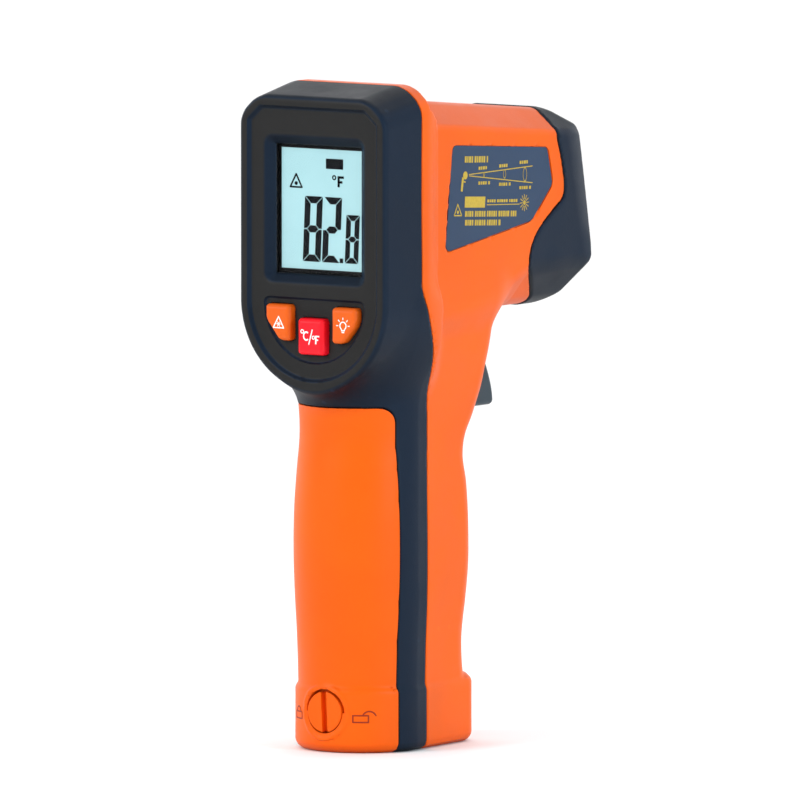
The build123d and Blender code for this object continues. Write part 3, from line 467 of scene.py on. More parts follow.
def cover_field(x, y, z):
    """Orange battery cover, with the lock's well and the raised ring about it."""
    outside = body(x, y, z)
    reach = np.hypot(x, z - LOCK_Z)
    ring = both(np.abs(reach - RING_RADIUS) - RING_HALF, outside - 0.28, 0.2)
    ring = np.maximum(ring, y - 5.0)
    skin = either(outside, ring, 0.25)
    skin = both(skin, cover_part(y, z) + SEAM, 0.3)
    boss = np.maximum(reach - COVER_BOSS, slab(y, BOSS_LOW, BOSS_HIGH))
    solid = either(np.maximum(skin, -outside - WALL), np.maximum(boss, outside + 0.3), 0.5)
    gap = np.where(z > LOCK_Z, LOCK_GAP_HIGH, LOCK_GAP_LOW)
    solid = both(solid, -np.maximum(reach - LOCK_RADIUS - gap, y - WELL_BOTTOM), 0.25)
    solid = without_lip(solid, np.where(reach > COVER_BOSS + 1, outside, 1.0), -cover_part(y, z))
    return both(solid, SHAFT_HOLE - reach)


def panel_recess(x, y, z):
    """The shallow bed of a side label."""
    bed = barrel_side(y) - LABEL_DEPTH - np.abs(x)
    return both(polygon(y, z, LABEL, LABEL_ROUND), bed)


def half_field(side):
    """One orange half of barrel and grip: side is 1 for the right half, -1 for the left."""
    def field(x, y, z):
        outside = body(x, y, z)
        skin = both(outside, front_part(y, z) + SEAM, 0.3)
        skin = both(skin, SEAM - nose_part(y, z), 0.3)
        skin = both(skin, -panel_recess(x, y, z), 0.12)
        solid = np.maximum(skin, -outside - WALL)
        solid = without_lip(solid, outside, -front_part(y, z))
        under_nose = np.maximum(lip(outside, -nose_part(y, z)), front_part(y, z) + 5)
        solid = np.minimum(solid, under_nose)
        if side < 0:
            for at_y, at_z in SCREWS:
                pillar = both(rod(SCREW_POST, y, z, at_y, at_z), x - POST_END)
                solid = either(solid, np.maximum(pillar, outside + 0.6), 0.4)
                well = both(rod(SCREW_WELL, y, z, at_y, at_z), x - WELL_END)
                solid = both(solid, -well, 0.25)
        slot = both(np.abs(x) - TRIGGER_SLOT_HALF, slab(z, TRIGGER_SLOT_LOW, TRIGGER_SLOT_HIGH))
        slot = both(slot, TRIGGER_SLOT_REAR - y)
        solid = both(solid, -slot, 0.4)
        return both(solid, 0.04 - side * x, 0.2)
    return field


def nose_field(x, y, z):
    """Dark nose, a little proud of the barrel, open for the sensor port and the laser."""
    outside = body(x, y, z)
    skin = both(outside - NOSE_PROUD, nose_part(y, z) + SEAM, 0.5)
    solid = np.maximum(skin, -outside - WALL)
    solid = without_lip(solid, outside, -nose_part(y, z))
    sleeve = both(rod(PORT_HOLE + PORT_SLEEVE, x, z, 0, PORT_Z), SLEEVE_REAR - y)
    solid = either(solid, np.maximum(sleeve, outside + 0.5))
    solid = both(solid, -both(rod(PORT_HOLE, x, z, 0, PORT_Z), BORE_REAR - y), 0.5)
    laser_seat = both(rod(LASER_HOLE + LASER_SLEEVE, x, z, 0, LASER_Z), LASER_REAR - y)
    solid = either(solid, np.maximum(laser_seat, outside + 0.5))
    return both(solid, -both(rod(LASER_HOLE, x, z, 0, LASER_Z), BORE_REAR - y), 0.35)


def trigger_field(x, y, z):
    """Grey trigger: hooked front edge, soft sides, round hub."""
    front = (y - curve(z, TRIGGER_FRONT)) * 0.9
    rear = 46.5 - y + 0.11 * np.maximum(z - 81.5, -10)
    web = both(both(front, TRIGGER_LOW - z, 1.4), both(rear, z - TRIGGER_HIGH, 0.5), 0.5)
    web = both(web, np.abs(x) - TRIGGER_HALF, 1.3)
    hub = both(rod(HUB, y, z, *PIVOT), np.abs(x) - TRIGGER_HALF, 0.3)
    made = either(web, hub, 0.6)
    return both(made, PIN_HOLE - np.hypot(y - PIVOT[0], z - PIVOT[1]))


def key_field(which):
    """A push key with bevelled edges and a slightly dished front."""
    at_x, at_z = MID_KEY if which == 0 else (which * SIDE_KEY[0], SIDE_KEY[1])

    def field(x, y, z):
        outline = key_outline(which, x, z)
        dish = KEY_DISH * np.exp(-((x - at_x) ** 2 + (z - at_z) ** 2) / DISH_SPREAD)
        front = KEY_FRONT + dish - y
        bevel = (outline + front + KEY_BEVEL) * SLANT
        return np.maximum(both(both(outline, front, 0.2), bevel, 0.3), y - KEY_BACK)
    return field


def lock_field(x, y, z):
    """Coin disc with a slot, on its shaft."""
    reach = np.hypot(x, z - LOCK_Z)
    disc = both(reach - LOCK_RADIUS, slab(y, LOCK_FRONT, LOCK_BACK), 0.25)
    turned = x * math.cos(LOCK_TILT) + (z - LOCK_Z) * math.sin(LOCK_TILT)
    slot = both(np.abs(turned) - COIN_HALF, y - SLOT_BOTTOM)
    shaft = both(reach - SHAFT, slab(y, BOSS_LOW, SHAFT_END))
    return both(np.minimum(disc, shaft), -slot, 0.2)


# -------- materials
class Nodes:
    """A material's node tree, built one step at a time in object space."""

    def __init__(self, name):
        self.material = bpy.data.materials.new(name)
        self.material.use_nodes = True
        self.tree = self.material.node_tree
        self.shader = self.tree.nodes["Principled BSDF"]
        self.space = self.tree.nodes.new("ShaderNodeTexCoord").outputs["Object"]

    def node(self, kind, inputs=(), **settings):
        """A new node with its settings and its inputs, each a value or another node's output."""
        made = self.tree.nodes.new(kind)
        for key, value in settings.items():
            setattr(made, key, value)
        for key, value in dict(inputs).items():
            if isinstance(value, bpy.types.NodeSocket):
                self.tree.links.new(value, made.inputs[key])
            else:
                made.inputs[key].default_value = value
        return made

    def noise(self, scale, detail=2.0, roughness=0.5, stretch=None):
        """Noise of that many cells per metre, stretched along an axis if asked."""
        space = self.space
        if stretch:
            mapping = self.node("ShaderNodeMapping", {"Vector": space, "Scale": stretch})
            space = mapping.outputs["Vector"]
        inputs = {"Vector": space, "Scale": scale, "Detail": detail, "Roughness": roughness}
        return self.node("ShaderNodeTexNoise", inputs).outputs["Fac"]

    def ramp(self, value, low, high, to_low, to_high):
        """A value mapped from one range onto another, held at both ends."""
        inputs = {"Value": value, 1: low, 2: high, 3: to_low, 4: to_high}
        return self.node("ShaderNodeMapRange", inputs).outputs["Result"]

    def mix(self, share, a, b):
        """Colour a blended towards colour b."""
        made = self.node("ShaderNodeMix", data_type="RGBA")
        for index, value in ((0, share), (6, a), (7, b)):
            if isinstance(value, bpy.types.NodeSocket):
                self.tree.links.new(value, made.inputs[index])
            else:
                made.inputs[index].default_value = value if index == 0 else (*value, 1)
        return made.outputs[2]

    def set(self, **inputs):
        """Shader inputs by name, with spaces written as underscores."""
        for key, value in inputs.items():
            socket = self.shader.inputs[key.replace("_", " ")]
            if isinstance(value, bpy.types.NodeSocket):
                self.tree.links.new(value, socket)
            else:
                socket.default_value = value

    def bump(self, height, strength, distance, below=None):
        """Surface relief from a height, on top of another relief."""
        inputs = {"Height": height, "Strength": strength, "Distance": distance}
        if below is not None:
            inputs["Normal"] = below
        return self.node("ShaderNodeBump", inputs).outputs["Normal"]


def tinted(colour, share):
    """The colour made lighter (share above 1) or darker."""
    return tuple(min(1.0, c * share) for c in colour)


def plastic(name, colour, rough=0.42, grain=2600, relief=0.12, worn=0.0, face=None,
            shine=0.22, painted_shade_level=1.0):
    """Moulded plastic: spark-eroded grain, slow colour drift, handling marks, paler edges.

    A rear face may take its own colour, leaving the other faces in painted side light, and tops and
    undersides may be painted darker as painted shade.
    """
    n = Nodes(name)
    drift = n.ramp(n.noise(35, 3), 0.35, 0.65, 0, 1)
    base = n.mix(drift, tinted(colour, 0.93), tinted(colour, 1.06))
    normal = n.node("ShaderNodeNewGeometry").outputs["Normal"]
    facing = n.node("ShaderNodeSeparateXYZ", {"Vector": normal}).outputs
    # Painted light: faces that look backwards take the rear colour, and all other faces keep the base
    # colour, which carries the painted tint of a cool side lamp.
    if face:
        base = n.mix(n.ramp(facing["Y"], -0.97, -0.85, 1, 0), base, face)
    # Painted shade: faces looking up and faces looking down are darkened by this factor, standing in for
    # how the light falls on them.
    if painted_shade_level < 1:
        base = n.mix(n.ramp(facing["Z"], 0.5, 0.9, 0, 1), base, tinted(colour, painted_shade_level))
        base = n.mix(n.ramp(facing["Z"], -0.8, -0.15, 1, 0), base, tinted(colour, painted_shade_level))
    speck = n.ramp(n.noise(grain * 0.6, 1), 0.62, 0.75, 0, 0.10)
    base = n.mix(speck, base, tinted(colour, 1.5))
    if worn:
        edge = n.node("ShaderNodeNewGeometry").outputs["Pointiness"]
        rubbed = n.ramp(edge, 0.53, 0.60, 0, worn)
        base = n.mix(rubbed, base, tinted(colour, 1.6))
    handled = n.ramp(n.noise(70, 4, 0.6), 0.3, 0.7, rough - 0.06, rough + 0.07)
    fine = n.bump(n.noise(grain, 2), relief, 0.00012)
    n.set(Base_Color=base, Roughness=handled, Specular_IOR_Level=shine)
    n.set(Normal=n.bump(n.noise(110, 2), 0.05, 0.0003, fine))
    return n.material


def metal(name, colour, rough=0.3, stretch=(1, 1, 12), scale=1500, marks=0.15):
    """Machined or drawn metal: directional scratches and a slightly dull film."""
    n = Nodes(name)
    lines = n.noise(scale, 3, 0.6, stretch)
    film = n.ramp(n.noise(200, 3), 0.4, 0.7, 0, 0.35)
    n.set(Base_Color=n.mix(film, colour, tinted(colour, 0.72)), Metallic=1.0)
    n.set(Roughness=n.ramp(lines, 0.3, 0.7, rough - 0.08, rough + 0.12))
    n.set(Normal=n.bump(lines, marks, 0.00005))
    return n.material


def rubber(name, colour, rough=0.7):
    """Silicone or carbon: dusty, soft, with a fine matt grain."""
    n = Nodes(name)
    dust = n.ramp(n.noise(900, 4, 0.7), 0.5, 0.8, 0, 0.25)
    n.set(Base_Color=n.mix(dust, colour, tinted(colour, 1.7)))
    n.set(Roughness=n.ramp(n.noise(300, 2), 0.3, 0.7, rough - 0.1, rough + 0.1))
    n.set(Normal=n.bump(n.noise(3500, 2), 0.15, 0.0001))
    return n.material


def board_green():
    """Solder mask over copper tracks that show as faint lighter lines."""
    n = Nodes("solder_mask")
    inputs = {"Vector": n.space, "Scale": 260.0}
    cells = n.node("ShaderNodeTexVoronoi", inputs, distance="MANHATTAN")
    tracks = n.ramp(cells.outputs["Distance"], 0.42, 0.46, 1, 0)
    n.set(Base_Color=n.mix(tracks, (0.02, 0.12, 0.045), (0.012, 0.07, 0.03)))
    n.set(Roughness=n.ramp(n.noise(400), 0.3, 0.7, 0.25, 0.4))
    n.set(Normal=n.bump(tracks, 0.3, 0.00008))
    return n.material


def clear(name, colour, share, rough=0.04):
    """Thin clear sheet: mostly see-through, with a faintly smudged gloss."""
    n = Nodes(name)
    smudge = n.ramp(n.noise(120, 4, 0.6), 0.4, 0.7, rough, rough + 0.12)
    gloss = n.node("ShaderNodeBsdfGlossy", {"Roughness": smudge}).outputs[0]
    through = n.node("ShaderNodeBsdfTransparent", {"Color": (*colour, 1)}).outputs[0]
    mixed = n.node("ShaderNodeMixShader", {0: share, 1: through, 2: gloss}).outputs[0]
    n.tree.links.new(mixed, n.tree.nodes["Material Output"].inputs["Surface"])
    return n.material


def lcd():
    """Backlit liquid-crystal sheet: pale cyan, a little cloudy, with a finely uneven gloss."""
    n = Nodes("lcd_sheet")
    cloud = n.ramp(n.noise(60, 2), 0.3, 0.7, 0, 1)
    base = n.mix(cloud, (0.36, 0.60, 0.64), (0.41, 0.66, 0.70))
    n.set(Base_Color=base, Roughness=n.ramp(n.noise(2500), 0.3, 0.7, 0.3, 0.45))
    n.set(Emission_Color=base, Emission_Strength=0.12)
    return n.material


def lens():
    """Infrared lens: dark coated glass with a violet cast."""
    n = Nodes("lens_coating")
    tint = n.mix(n.ramp(n.noise(300, 2), 0.3, 0.7, 0, 1), (0.05, 0.02, 0.09), (0.02, 0.05, 0.08))
    n.set(Base_Color=tint, Roughness=n.ramp(n.noise(500), 0.3, 0.7, 0.05, 0.12))
    n.set(Metallic=0.4, Coat_Weight=0.8)
    return n.material


def ink(name, colour, rough=0.5, painted_glow=0.0, shine=0.3):
    """Screen-printed ink with a slightly uneven film, and a painted glow if asked."""
    n = Nodes(name)
    film = n.ramp(n.noise(1800, 3), 0.35, 0.7, 0, 1)
    base = n.mix(film, colour, tinted(colour, 0.86))
    n.set(Base_Color=base, Roughness=n.ramp(n.noise(700), 0.3, 0.7, rough - 0.08, rough + 0.08))
    n.set(Normal=n.bump(n.noise(3000), 0.08, 0.00005))
    n.set(Emission_Color=base, Emission_Strength=painted_glow, Specular_IOR_Level=shine)
    return n.material


ORANGE = (0.86, 0.112, 0.0015)
# Tops and undersides of the orange plastic are painted darker: painted shade.
orange = plastic("orange_plastic", ORANGE, 0.42, worn=0.2, shine=0.14, painted_shade_level=0.72)
# Painted light on the dark plastic: the slate blue of the flanks stands in for a cool side lamp, the
# rear face is a neutral grey, and tops and undersides get painted shade.
dark = plastic("dark_plastic", (0.006, 0.0145, 0.030), 0.48, 2200, 0.2, 0.5,
               (0.017, 0.017, 0.017), 0.12, 0.35)
slate = plastic("trigger_plastic", (0.036, 0.052, 0.064), 0.45, worn=0.25)
black = plastic("black_plastic", (0.012, 0.012, 0.014), 0.5, 1800, 0.25)
pale = plastic("light_plastic", (0.72, 0.72, 0.68), 0.45)
key_orange = plastic("key_orange", (0.72, 0.105, 0.004), 0.4, worn=0.35)
key_red = plastic("key_red", (0.92, 0.006, 0.018), 0.38, worn=0.2)
film = plastic("label_film", (0.017, 0.043, 0.092), 0.35, 4000, 0.08)
MATERIALS = {
    "light_plastic": pale, "black_plastic": black, "trigger_plastic": slate, "orange_plastic": orange,
    "dark_plastic": dark, "key_orange": key_orange, "key_red": key_red, "label_film": film,
    "keypad_rubber": rubber("keypad_rubber", (0.35, 0.36, 0.38)),
    "carbon": rubber("carbon", (0.02, 0.02, 0.02), 0.6),
    "clear_window": clear("clear_window", (0.97, 0.98, 0.98), 0.006),
    "display_glass": lcd(), "lens_glass": lens(),
    "laser_glass": clear("laser_glass", (0.9, 0.5, 0.5), 0.2),
    "aluminium": metal("aluminium", (0.75, 0.76, 0.78), 0.32),
    "brass_parts": metal("brass_parts", (0.78, 0.55, 0.22), 0.28),
    "steel": metal("steel", (0.34, 0.35, 0.37), 0.34, (1, 1, 1), 900, 0.25),
    "board_green": board_green(), "cell_can": metal("cell_can", (0.30, 0.33, 0.38), 0.35),
}
# The white icons get a faint painted glow.
white_ink = ink("white_ink", (0.95, 0.93, 0.90), 0.5, 0.05)
lcd_ink = ink("lcd_segments", (0.003, 0.004, 0.006), 0.5, shine=0.05)
mask_ink = ink("mask_ink", (0.004, 0.004, 0.005), 0.5, shine=0.05)
yellow_ink = ink("yellow_ink", (0.56, 0.38, 0.035), 0.45)
# Painted shade standing in for the inside of the engraved padlock grooves.
groove_painted_shade = ink("groove_shadow", (0.33, 0.030, 0.002), 0.6)


# -------- moulded pieces
PIECES = [
    ("frame_shell", rear_frame_field, (-23.25, -6, -1.1), (23.25, 24.2, 159.4), STEP,
     "dark_plastic", "rear_frame", "housing"),
    ("cover_shell", cover_field, (-18.25, -3, -1.1), (18.25, 12.2, 83.4), STEP,
     "orange_plastic", "battery_cover", "cover"),
    ("half_shell_right", half_field(1), (-1.1, 8.2, -1.1), (23.25, 76, 159.4), STEP,
     "orange_plastic", "housing_right", "housing"),
    ("half_shell_left", half_field(-1), (-23.25, 8.2, -1.1), (1.1, 76, 159.4), STEP,
     "orange_plastic", "housing_left", "housing"),
    ("nose_shell", nose_field, (-20.25, 58.2, 98), (20.25, 92, 153.4), STEP,
     "dark_plastic", "nose_bumper", "housing"),
    ("trigger_lever", trigger_field, (-6.6, 44.0, 76.4), (6.6, 63.4, 105.0), FINE,
     "trigger_plastic", "trigger", "trigger"),
    ("lock_disc", lock_field, (-5.6, -0.1, 4.0), (5.6, 8.9, 15.2), FINE, "orange_plastic",
     "cover_lock", "lock"),
    ("key_cap_laser", key_field(-1), (-14.6, -6.8, 97.2), (-5.0, -0.4, 107.4), FINE, "key_orange",
     "key_laser", "laser_key"),
    ("key_cap_units", key_field(0), (-4.8, -6.8, 94.2), (4.8, -0.4, 104.3), FINE, "key_red",
     "key_units", "units_key"),
    ("key_cap_light", key_field(1), (5.0, -6.8, 97.2), (14.6, -0.4, 107.4), FINE, "key_orange",
     "key_light", "light_key"),
]


def place(piece, node, rides, slot_name):
    """Sets a finished piece in its CAD node's stead."""
    if node:
        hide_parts(node)
    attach(piece, rides)


for name, field, low, high, step, slot_name, node, rides in PIECES:
    piece = moulding(name, field, low, high, MATERIALS[slot_name], step)
    place(piece, node, rides, slot_name)


# -------- prints, as thin raised shapes
def bar(u0, v0, u1, v1, width):
    """A straight stroke as a polygon."""
    size = math.hypot(u1 - u0, v1 - v0)
    du, dv = (v0 - v1) / size * width / 2, (u1 - u0) / size * width / 2
    return [(u0 - du, v0 - dv), (u1 - du, v1 - dv), (u1 + du, v1 + dv), (u0 + du, v0 + dv)]


def box(u0, v0, u1, v1):
    """An upright rectangle as a polygon."""
    return [(u0, v0), (u1, v0), (u1, v1), (u0, v1)]


def disc(u, v, radius, sides=20):
    """A round dot as a polygon."""
    turns = [2 * math.pi * k / sides for k in range(sides)]
    return [(u + radius * math.cos(t), v + radius * math.sin(t)) for t in turns]


def arc(u, v, radius, width, start=0.0, end=360.0, squash=1.0, parts=18):
    """A curved stroke as short polygons, from one angle to another in degrees."""
    made = []
    for k in range(parts):
        a, b = (math.radians(start + (end - start) * t / parts) for t in (k, k + 1))
        ring = [(a, radius - width / 2), (a, radius + width / 2),
                (b, radius + width / 2), (b, radius - width / 2)]
        made.append([(u + r * math.cos(t) * squash, v + r * math.sin(t)) for t, r in ring])
    return made


def outline(points, width, parts=1):
    """A closed outline as bars, in short parts where the surface is round, with dotted corners."""
    made = []
    for p, q in zip(points, points[1:] + points[:1]):
        stops = [(p[0] + (q[0] - p[0]) * k / parts, p[1] + (q[1] - p[1]) * k / parts)
                 for k in range(parts + 1)]
        made += [bar(*a, *b, width) for a, b in zip(stops, stops[1:])]
    return made + [disc(*p, width / 2, 10) for p in points]


def rays(u, v, inner, outer, width, angles):
    """Strokes that point away from one spot, at these angles in degrees."""
    return [bar(u + inner * math.cos(t), v + inner * math.sin(t), u + outer * math.cos(t),
                v + outer * math.sin(t), width) for t in np.radians(angles)]


def moved(polygons, du, dv, scale=1.0):
    """Polygons scaled about (0, 0), then moved."""
    return [[(u * scale + du, v * scale + dv) for u, v in shape] for shape in polygons]


def printed(name, polygons, surface, material, node_slot, rides):
    """Polygons laid on a surface as thin closed plates. surface gives a point and its top."""
    verts, faces = [], []
    for shape in polygons:
        area = sum(p[0] * q[1] - q[0] * p[1] for p, q in zip(shape, shape[1:] + shape[:1]))
        loop = shape if area > 0 else shape[::-1]
        first, count = len(verts), len(loop)
        verts += [surface(u, v)[0] for u, v in loop]
        verts += [surface(u, v)[1] for u, v in loop]
        faces.append([first + k for k in reversed(range(count))])
        faces.append([first + count + k for k in range(count)])
        for k in range(count):
            after = (k + 1) % count
            faces.append([first + k, first + after, first + count + after, first + count + k])
    piece = mesh_object(name, to_frame(verts), faces, material, 20)
    place(piece, None, rides, node_slot)
    return piece


def seen_from_behind(y, lift=0.06):
    """A flat upright surface at one depth, facing backwards."""
    return lambda u, v: ((u, y + 0.04, v), (u, y - lift, v))


# Icons on the keys, drawn about (0, 0).
laser_icon = outline([(-2.3, -1.9), (2.3, -1.9), (0, 2.1)], 0.42)
laser_icon += [disc(0, -0.55, 0.5)] + [bar(0.7, -0.55, 1.5, -0.55, 0.25)]
laser_icon += rays(0, -0.55, 0.5, 1.1, 0.22, [60, 120, 180, 240, 300])
units_icon = arc(-2.3, 1.3, 0.42, 0.26) + arc(-1.1, 0.2, 1.0, 0.42, 50, 310, 0.8)
units_icon += [bar(-0.35, -1.9, 0.75, 1.9, 0.3)] + arc(1.1, -0.1, 0.38, 0.24)
units_icon += [bar(1.85, -1.7, 1.85, 0.4, 0.42), bar(1.7, 0.25, 2.9, 0.25, 0.36),
               bar(1.7, -0.65, 2.6, -0.65, 0.34)]
light_icon = arc(0, 0.15, 1.15, 0.36, -55, 235) + [box(-0.62, -1.5, 0.62, -1.15)]
light_icon += [box(-0.5, -2.0, 0.5, -1.7), bar(-0.66, -0.79, -0.5, -1.3, 0.34),
               bar(0.66, -0.79, 0.5, -1.3, 0.34)]
light_icon += rays(0, 0.15, 1.75, 2.5, 0.3, [0, 45, 90, 135, 180])
KEY_ICONS = [("laser", laser_icon, 0.66, 0.5 - SIDE_KEY[0], SIDE_KEY[1], "laser_key"),
             ("units", units_icon, 0.95, MID_KEY[0], MID_KEY[1], "units_key"),
             ("light", light_icon, 0.78, SIDE_KEY[0], SIDE_KEY[1], "light_key")]


def key_surface(at_x, at_z):
    """The dished front of a key."""
    def surface(u, v):
        y = KEY_FRONT + KEY_DISH * math.exp(-((u - at_x) ** 2 + (v - at_z) ** 2) / DISH_SPREAD)
        return (u, y + 0.03, v), (u, y - 0.05, v)
    return surface


for name, icon, size, at_x, at_z, rides in KEY_ICONS:
    printed("icon_" + name, moved(icon, at_x, at_z, size), key_surface(at_x, at_z), white_ink,
            "light_plastic", rides)


# -------- display
LCD_Y = -0.2
LCD_LEFT, LCD_RIGHT, LCD_LOW, LCD_HIGH = -11.85, 11.75, 114.45, 143.0
MASK_HALF, MASK_LOW, MASK_HIGH, MASK_LAP = 13.1, 112.6, 145.3, 0.05
SEGMENTS = {"2": "abged", "8": "abcdefg"}
GAP = 0.13  # half of the gap between two segments


def segment_shapes(w, h, s):
    """Mitred seven-segment shapes for a digit w by h between stroke centres; s is half a stroke."""
    k, m = GAP, h / 2
    top = [(k - s, h + s), (w + s - k, h + s), (w - s - k, h - s), (s + k, h - s)]
    upper = [(-s, h + s - k), (s, h - s - k), (s, m + s + k), (0, m + k), (-s, m + k)]
    middle = [(k, m), (s + k, m + s), (w - s - k, m + s), (w - k, m), (w - s - k, m - s),
              (s + k, m - s)]
    right = [(w - u, v) for u, v in upper]
    return {"a": top, "f": upper, "g": middle, "b": right,
            "d": [(u, h - v) for u, v in top], "e": [(u, h - v) for u, v in upper],
            "c": [(u, h - v) for u, v in right]}


def digit(mark, left, top, width, height, stroke, lean=0.045):
    """A seven-segment digit whose top bar is centred on that height."""
    shapes = segment_shapes(width, height, stroke / 2)
    return [[(left + u + lean * v, top - height + v) for u, v in shapes[segment]]
            for segment in SEGMENTS[mark]]


left, top = -11.9, 143.1
content = digit("8", left + 7.1, top - 12.2, 3.5, 13.8, 1.65)
content += digit("2", left + 12.7, top - 12.2, 3.5, 13.8, 1.65)
content += [box(left + 17.0, top - 26.8, left + 18.0, top - 25.7)]
content += digit("8", left + 19.2, top - 16.0, 2.5, 10.1, 1.35)
content += [box(left + 13.0, top - 4.7, left + 18.0, top - 2.3)]
content += moved(arc(0, 0, 0.45, 0.3), left + 15.4, top - 6.7)
content += [box(left + 16.4, top - 8.9, left + 17.0, top - 6.3),
            box(left + 16.4, top - 6.85, left + 18.2, top - 6.3),
            box(left + 16.4, top - 8.0, left + 17.8, top - 7.45)]
content += moved(outline([(-1.7, -1.5), (1.7, -1.5), (0, 1.6)], 0.4), left + 4.3, top - 7.9)
content += [disc(left + 4.3, top - 8.5, 0.45)]
mask = [box(-MASK_HALF, MASK_LOW, LCD_LEFT, MASK_HIGH), box(LCD_RIGHT, MASK_LOW, MASK_HALF, MASK_HIGH),
        box(LCD_LEFT - MASK_LAP, LCD_HIGH, LCD_RIGHT + MASK_LAP, MASK_HIGH),
        box(LCD_LEFT - MASK_LAP, MASK_LOW, LCD_RIGHT + MASK_LAP, LCD_LOW)]
printed("display_mask", mask, seen_from_behind(LCD_Y - 0.02, 0.08), mask_ink, "black_plastic",
        "housing")
printed("display_marks", content, seen_from_behind(LCD_Y - 0.02, 0.05), lcd_ink, "display_glass",
        "housing")


# -------- side labels
def label_surface(side, depth, lift):
    """The barrel's flat side, a little below its surface."""
    def surface(u, v):
        x = barrel_side(u) - LABEL_DEPTH
        low, high = (side * (x + depth), u, v), (side * (x + depth + lift), u, v)
        return low, high
    return surface


def rounded(points, radius, parts=6):
    """A polygon's points with its corners rounded."""
    made = []
    for k, corner in enumerate(points):
        here = Vector(corner)
        to_last = (Vector(points[k - 1]) - here).normalized()
        to_next = (Vector(points[(k + 1) % len(points)]) - here).normalized()
        half = to_last.angle(to_next) / 2
        reach = radius / math.tan(half)
        a, b = here + to_last * reach, here + to_next * reach
        centre = here + (to_last + to_next).normalized() * radius / math.sin(half)
        for j in range(parts + 1):
            spot = a.lerp(b, j / parts) - centre
            made.append(tuple(centre + spot.normalized() * radius))
    return made


def inset(points, distance):
    """A convex polygon moved inwards about its middle."""
    mid = Vector(np.mean(points, axis=0))
    made = []
    for point in points:
        out = Vector(point) - mid
        made.append(tuple(mid + out * (1 - distance / out.length)))
    return made


plate = rounded(inset(LABEL, 0.35), LABEL_ROUND)


def words(u, v, slope, length, height):
    """A row of small blocks that reads as a line of print."""
    made, at, k = [], 0.0, 0
    while at < length - 0.6:
        width = (0.75, 0.5, 0.85, 0.6)[k % 4]
        made.append(bar(u + at, v + slope * at, u + at + width, v + slope * (at + width), height))
        at += width + (0.28 if (k + 2) % 5 else 0.7)
        k += 1
    return made


art = words(31.1, 139.4, -0.06, 10.2, 1.5)
art += [bar(32.9, 135.7, 60.6, 135.9, 0.22), bar(32.9, 135.4, 60.6, 131.9, 0.22)]
for u, middle, half, over, under in ((39.4, 135.3, 0.5, 136.9, 133.4), (48.4, 134.8, 1.0, 136.85, 132.5),
                                     (57.3, 134.1, 1.6, 137.1, 131.1)):
    art += arc(u, middle, half, 0.2, squash=0.5)
    art += words(u - 2.3, over, -0.02, 4.6, 0.75) + words(u - 2.4, under, -0.05, 5.0, 0.75)
art += [bar(29.7, 131.9, 30.3, 135.2, 0.8), disc(31.3, 135.6, 0.95), bar(30.2, 134.3, 31.4, 134.0, 0.3)]
art += [bar(31.1, 129.3, 39.9, 128.7, 2.6)] + words(40.9, 128.9, -0.06, 13.6, 0.7)
art += [bar(40.7, 128.0, 54.9, 127.2, 0.2)]
art += words(31.2, 126.5, -0.065, 23.0, 1.35) + words(31.2, 124.4, -0.065, 16.2, 1.35)
art += outline([(26.5, 126.4), (29.7, 126.2), (28.0, 129.0)], 0.3) + [disc(28.05, 127.1, 0.4)]
art += [disc(57.1, 127.4, 0.55)] + rays(57.1, 127.4, 0.8, 2.0, 0.2, range(0, 360, 30))
for side, word in ((1, "right"), (-1, "left")):
    piece = printed("label_plate_" + word, [plate], label_surface(side, 0.06, 0.22), film,
                    "label_film", "housing")
    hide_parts("label_" + word)
    flipped = art if side > 0 else [[(LABEL_MIRROR - u, v) for u, v in shape] for shape in art]
    printed("label_print_" + word, flipped, label_surface(side, 0.27, 0.06), yellow_ink,
            "label_film", "housing")


# -------- engraved padlocks by the lock, drawn as dark plates of painted groove shade
def foot_surface(u, v):
    """The round back of the foot; u is the distance along it from the middle."""
    turn = u / FOOT_HALF
    made = []
    for out in (-0.3, 0.08):
        radius = FOOT_HALF + out
        made.append((radius * math.sin(turn), FOOT_HALF - radius * math.cos(turn), v))
    return made


def padlock(u, v, closed):
    """A small padlock, its shackle closed over its body or swung out to the right."""
    body_box = outline([(-2.3, -0.9), (1.4, -0.9), (1.4, 0.7), (-2.3, 0.7)], 0.34, 5)
    shackle = arc(-0.45, 0.7, 1.2, 0.34, 0, 180) if closed else arc(1.6, 0.0, 1.7, 0.34, 20, 150)
    return moved(body_box + shackle, u, v)


marks = padlock(10.0, 8.4, False) + padlock(-9.1, 8.4, True)
printed("lock_marks", marks, foot_surface, groove_painted_shade, "orange_plastic", "cover")


# -------- sensor port
def lathe(profile, z, sides=72):
    """A ring about an axis along Y, from a closed (y, radius) profile."""
    verts, faces = [], []
    count = len(profile)
    for j in range(sides):
        t = 2 * math.pi * j / sides
        verts += [(r * math.cos(t), y, z + r * math.sin(t)) for y, r in profile]
    for j in range(sides):
        here, after = j * count, (j + 1) % sides * count
        for k in range(count):
            q = (k + 1) % count
            faces.append((here + k, here + q, after + q, after + k))
    return verts, faces


port = [(PORT_REAR, PORT_OUTER), (83.0, PORT_OUTER), (PORT_FRONT, 8.9), (PORT_FRONT, 8.4)]
for k in range(RIDGES):
    radius, depth = 8.1 - RIDGE_STEP * k, 83.0 - RIDGE_DROP * k
    port += [(depth, radius), (depth - RIDGE_DROP, radius - 0.12)]
port += [(76.3, PORT_INNER), (PORT_REAR, PORT_INNER)]
port_verts, port_faces = lathe(port, PORT_Z)
insert = mesh_object("port_insert", to_frame(port_verts), port_faces, black, 25)
place(insert, "port_cone", "housing", "black_plastic")


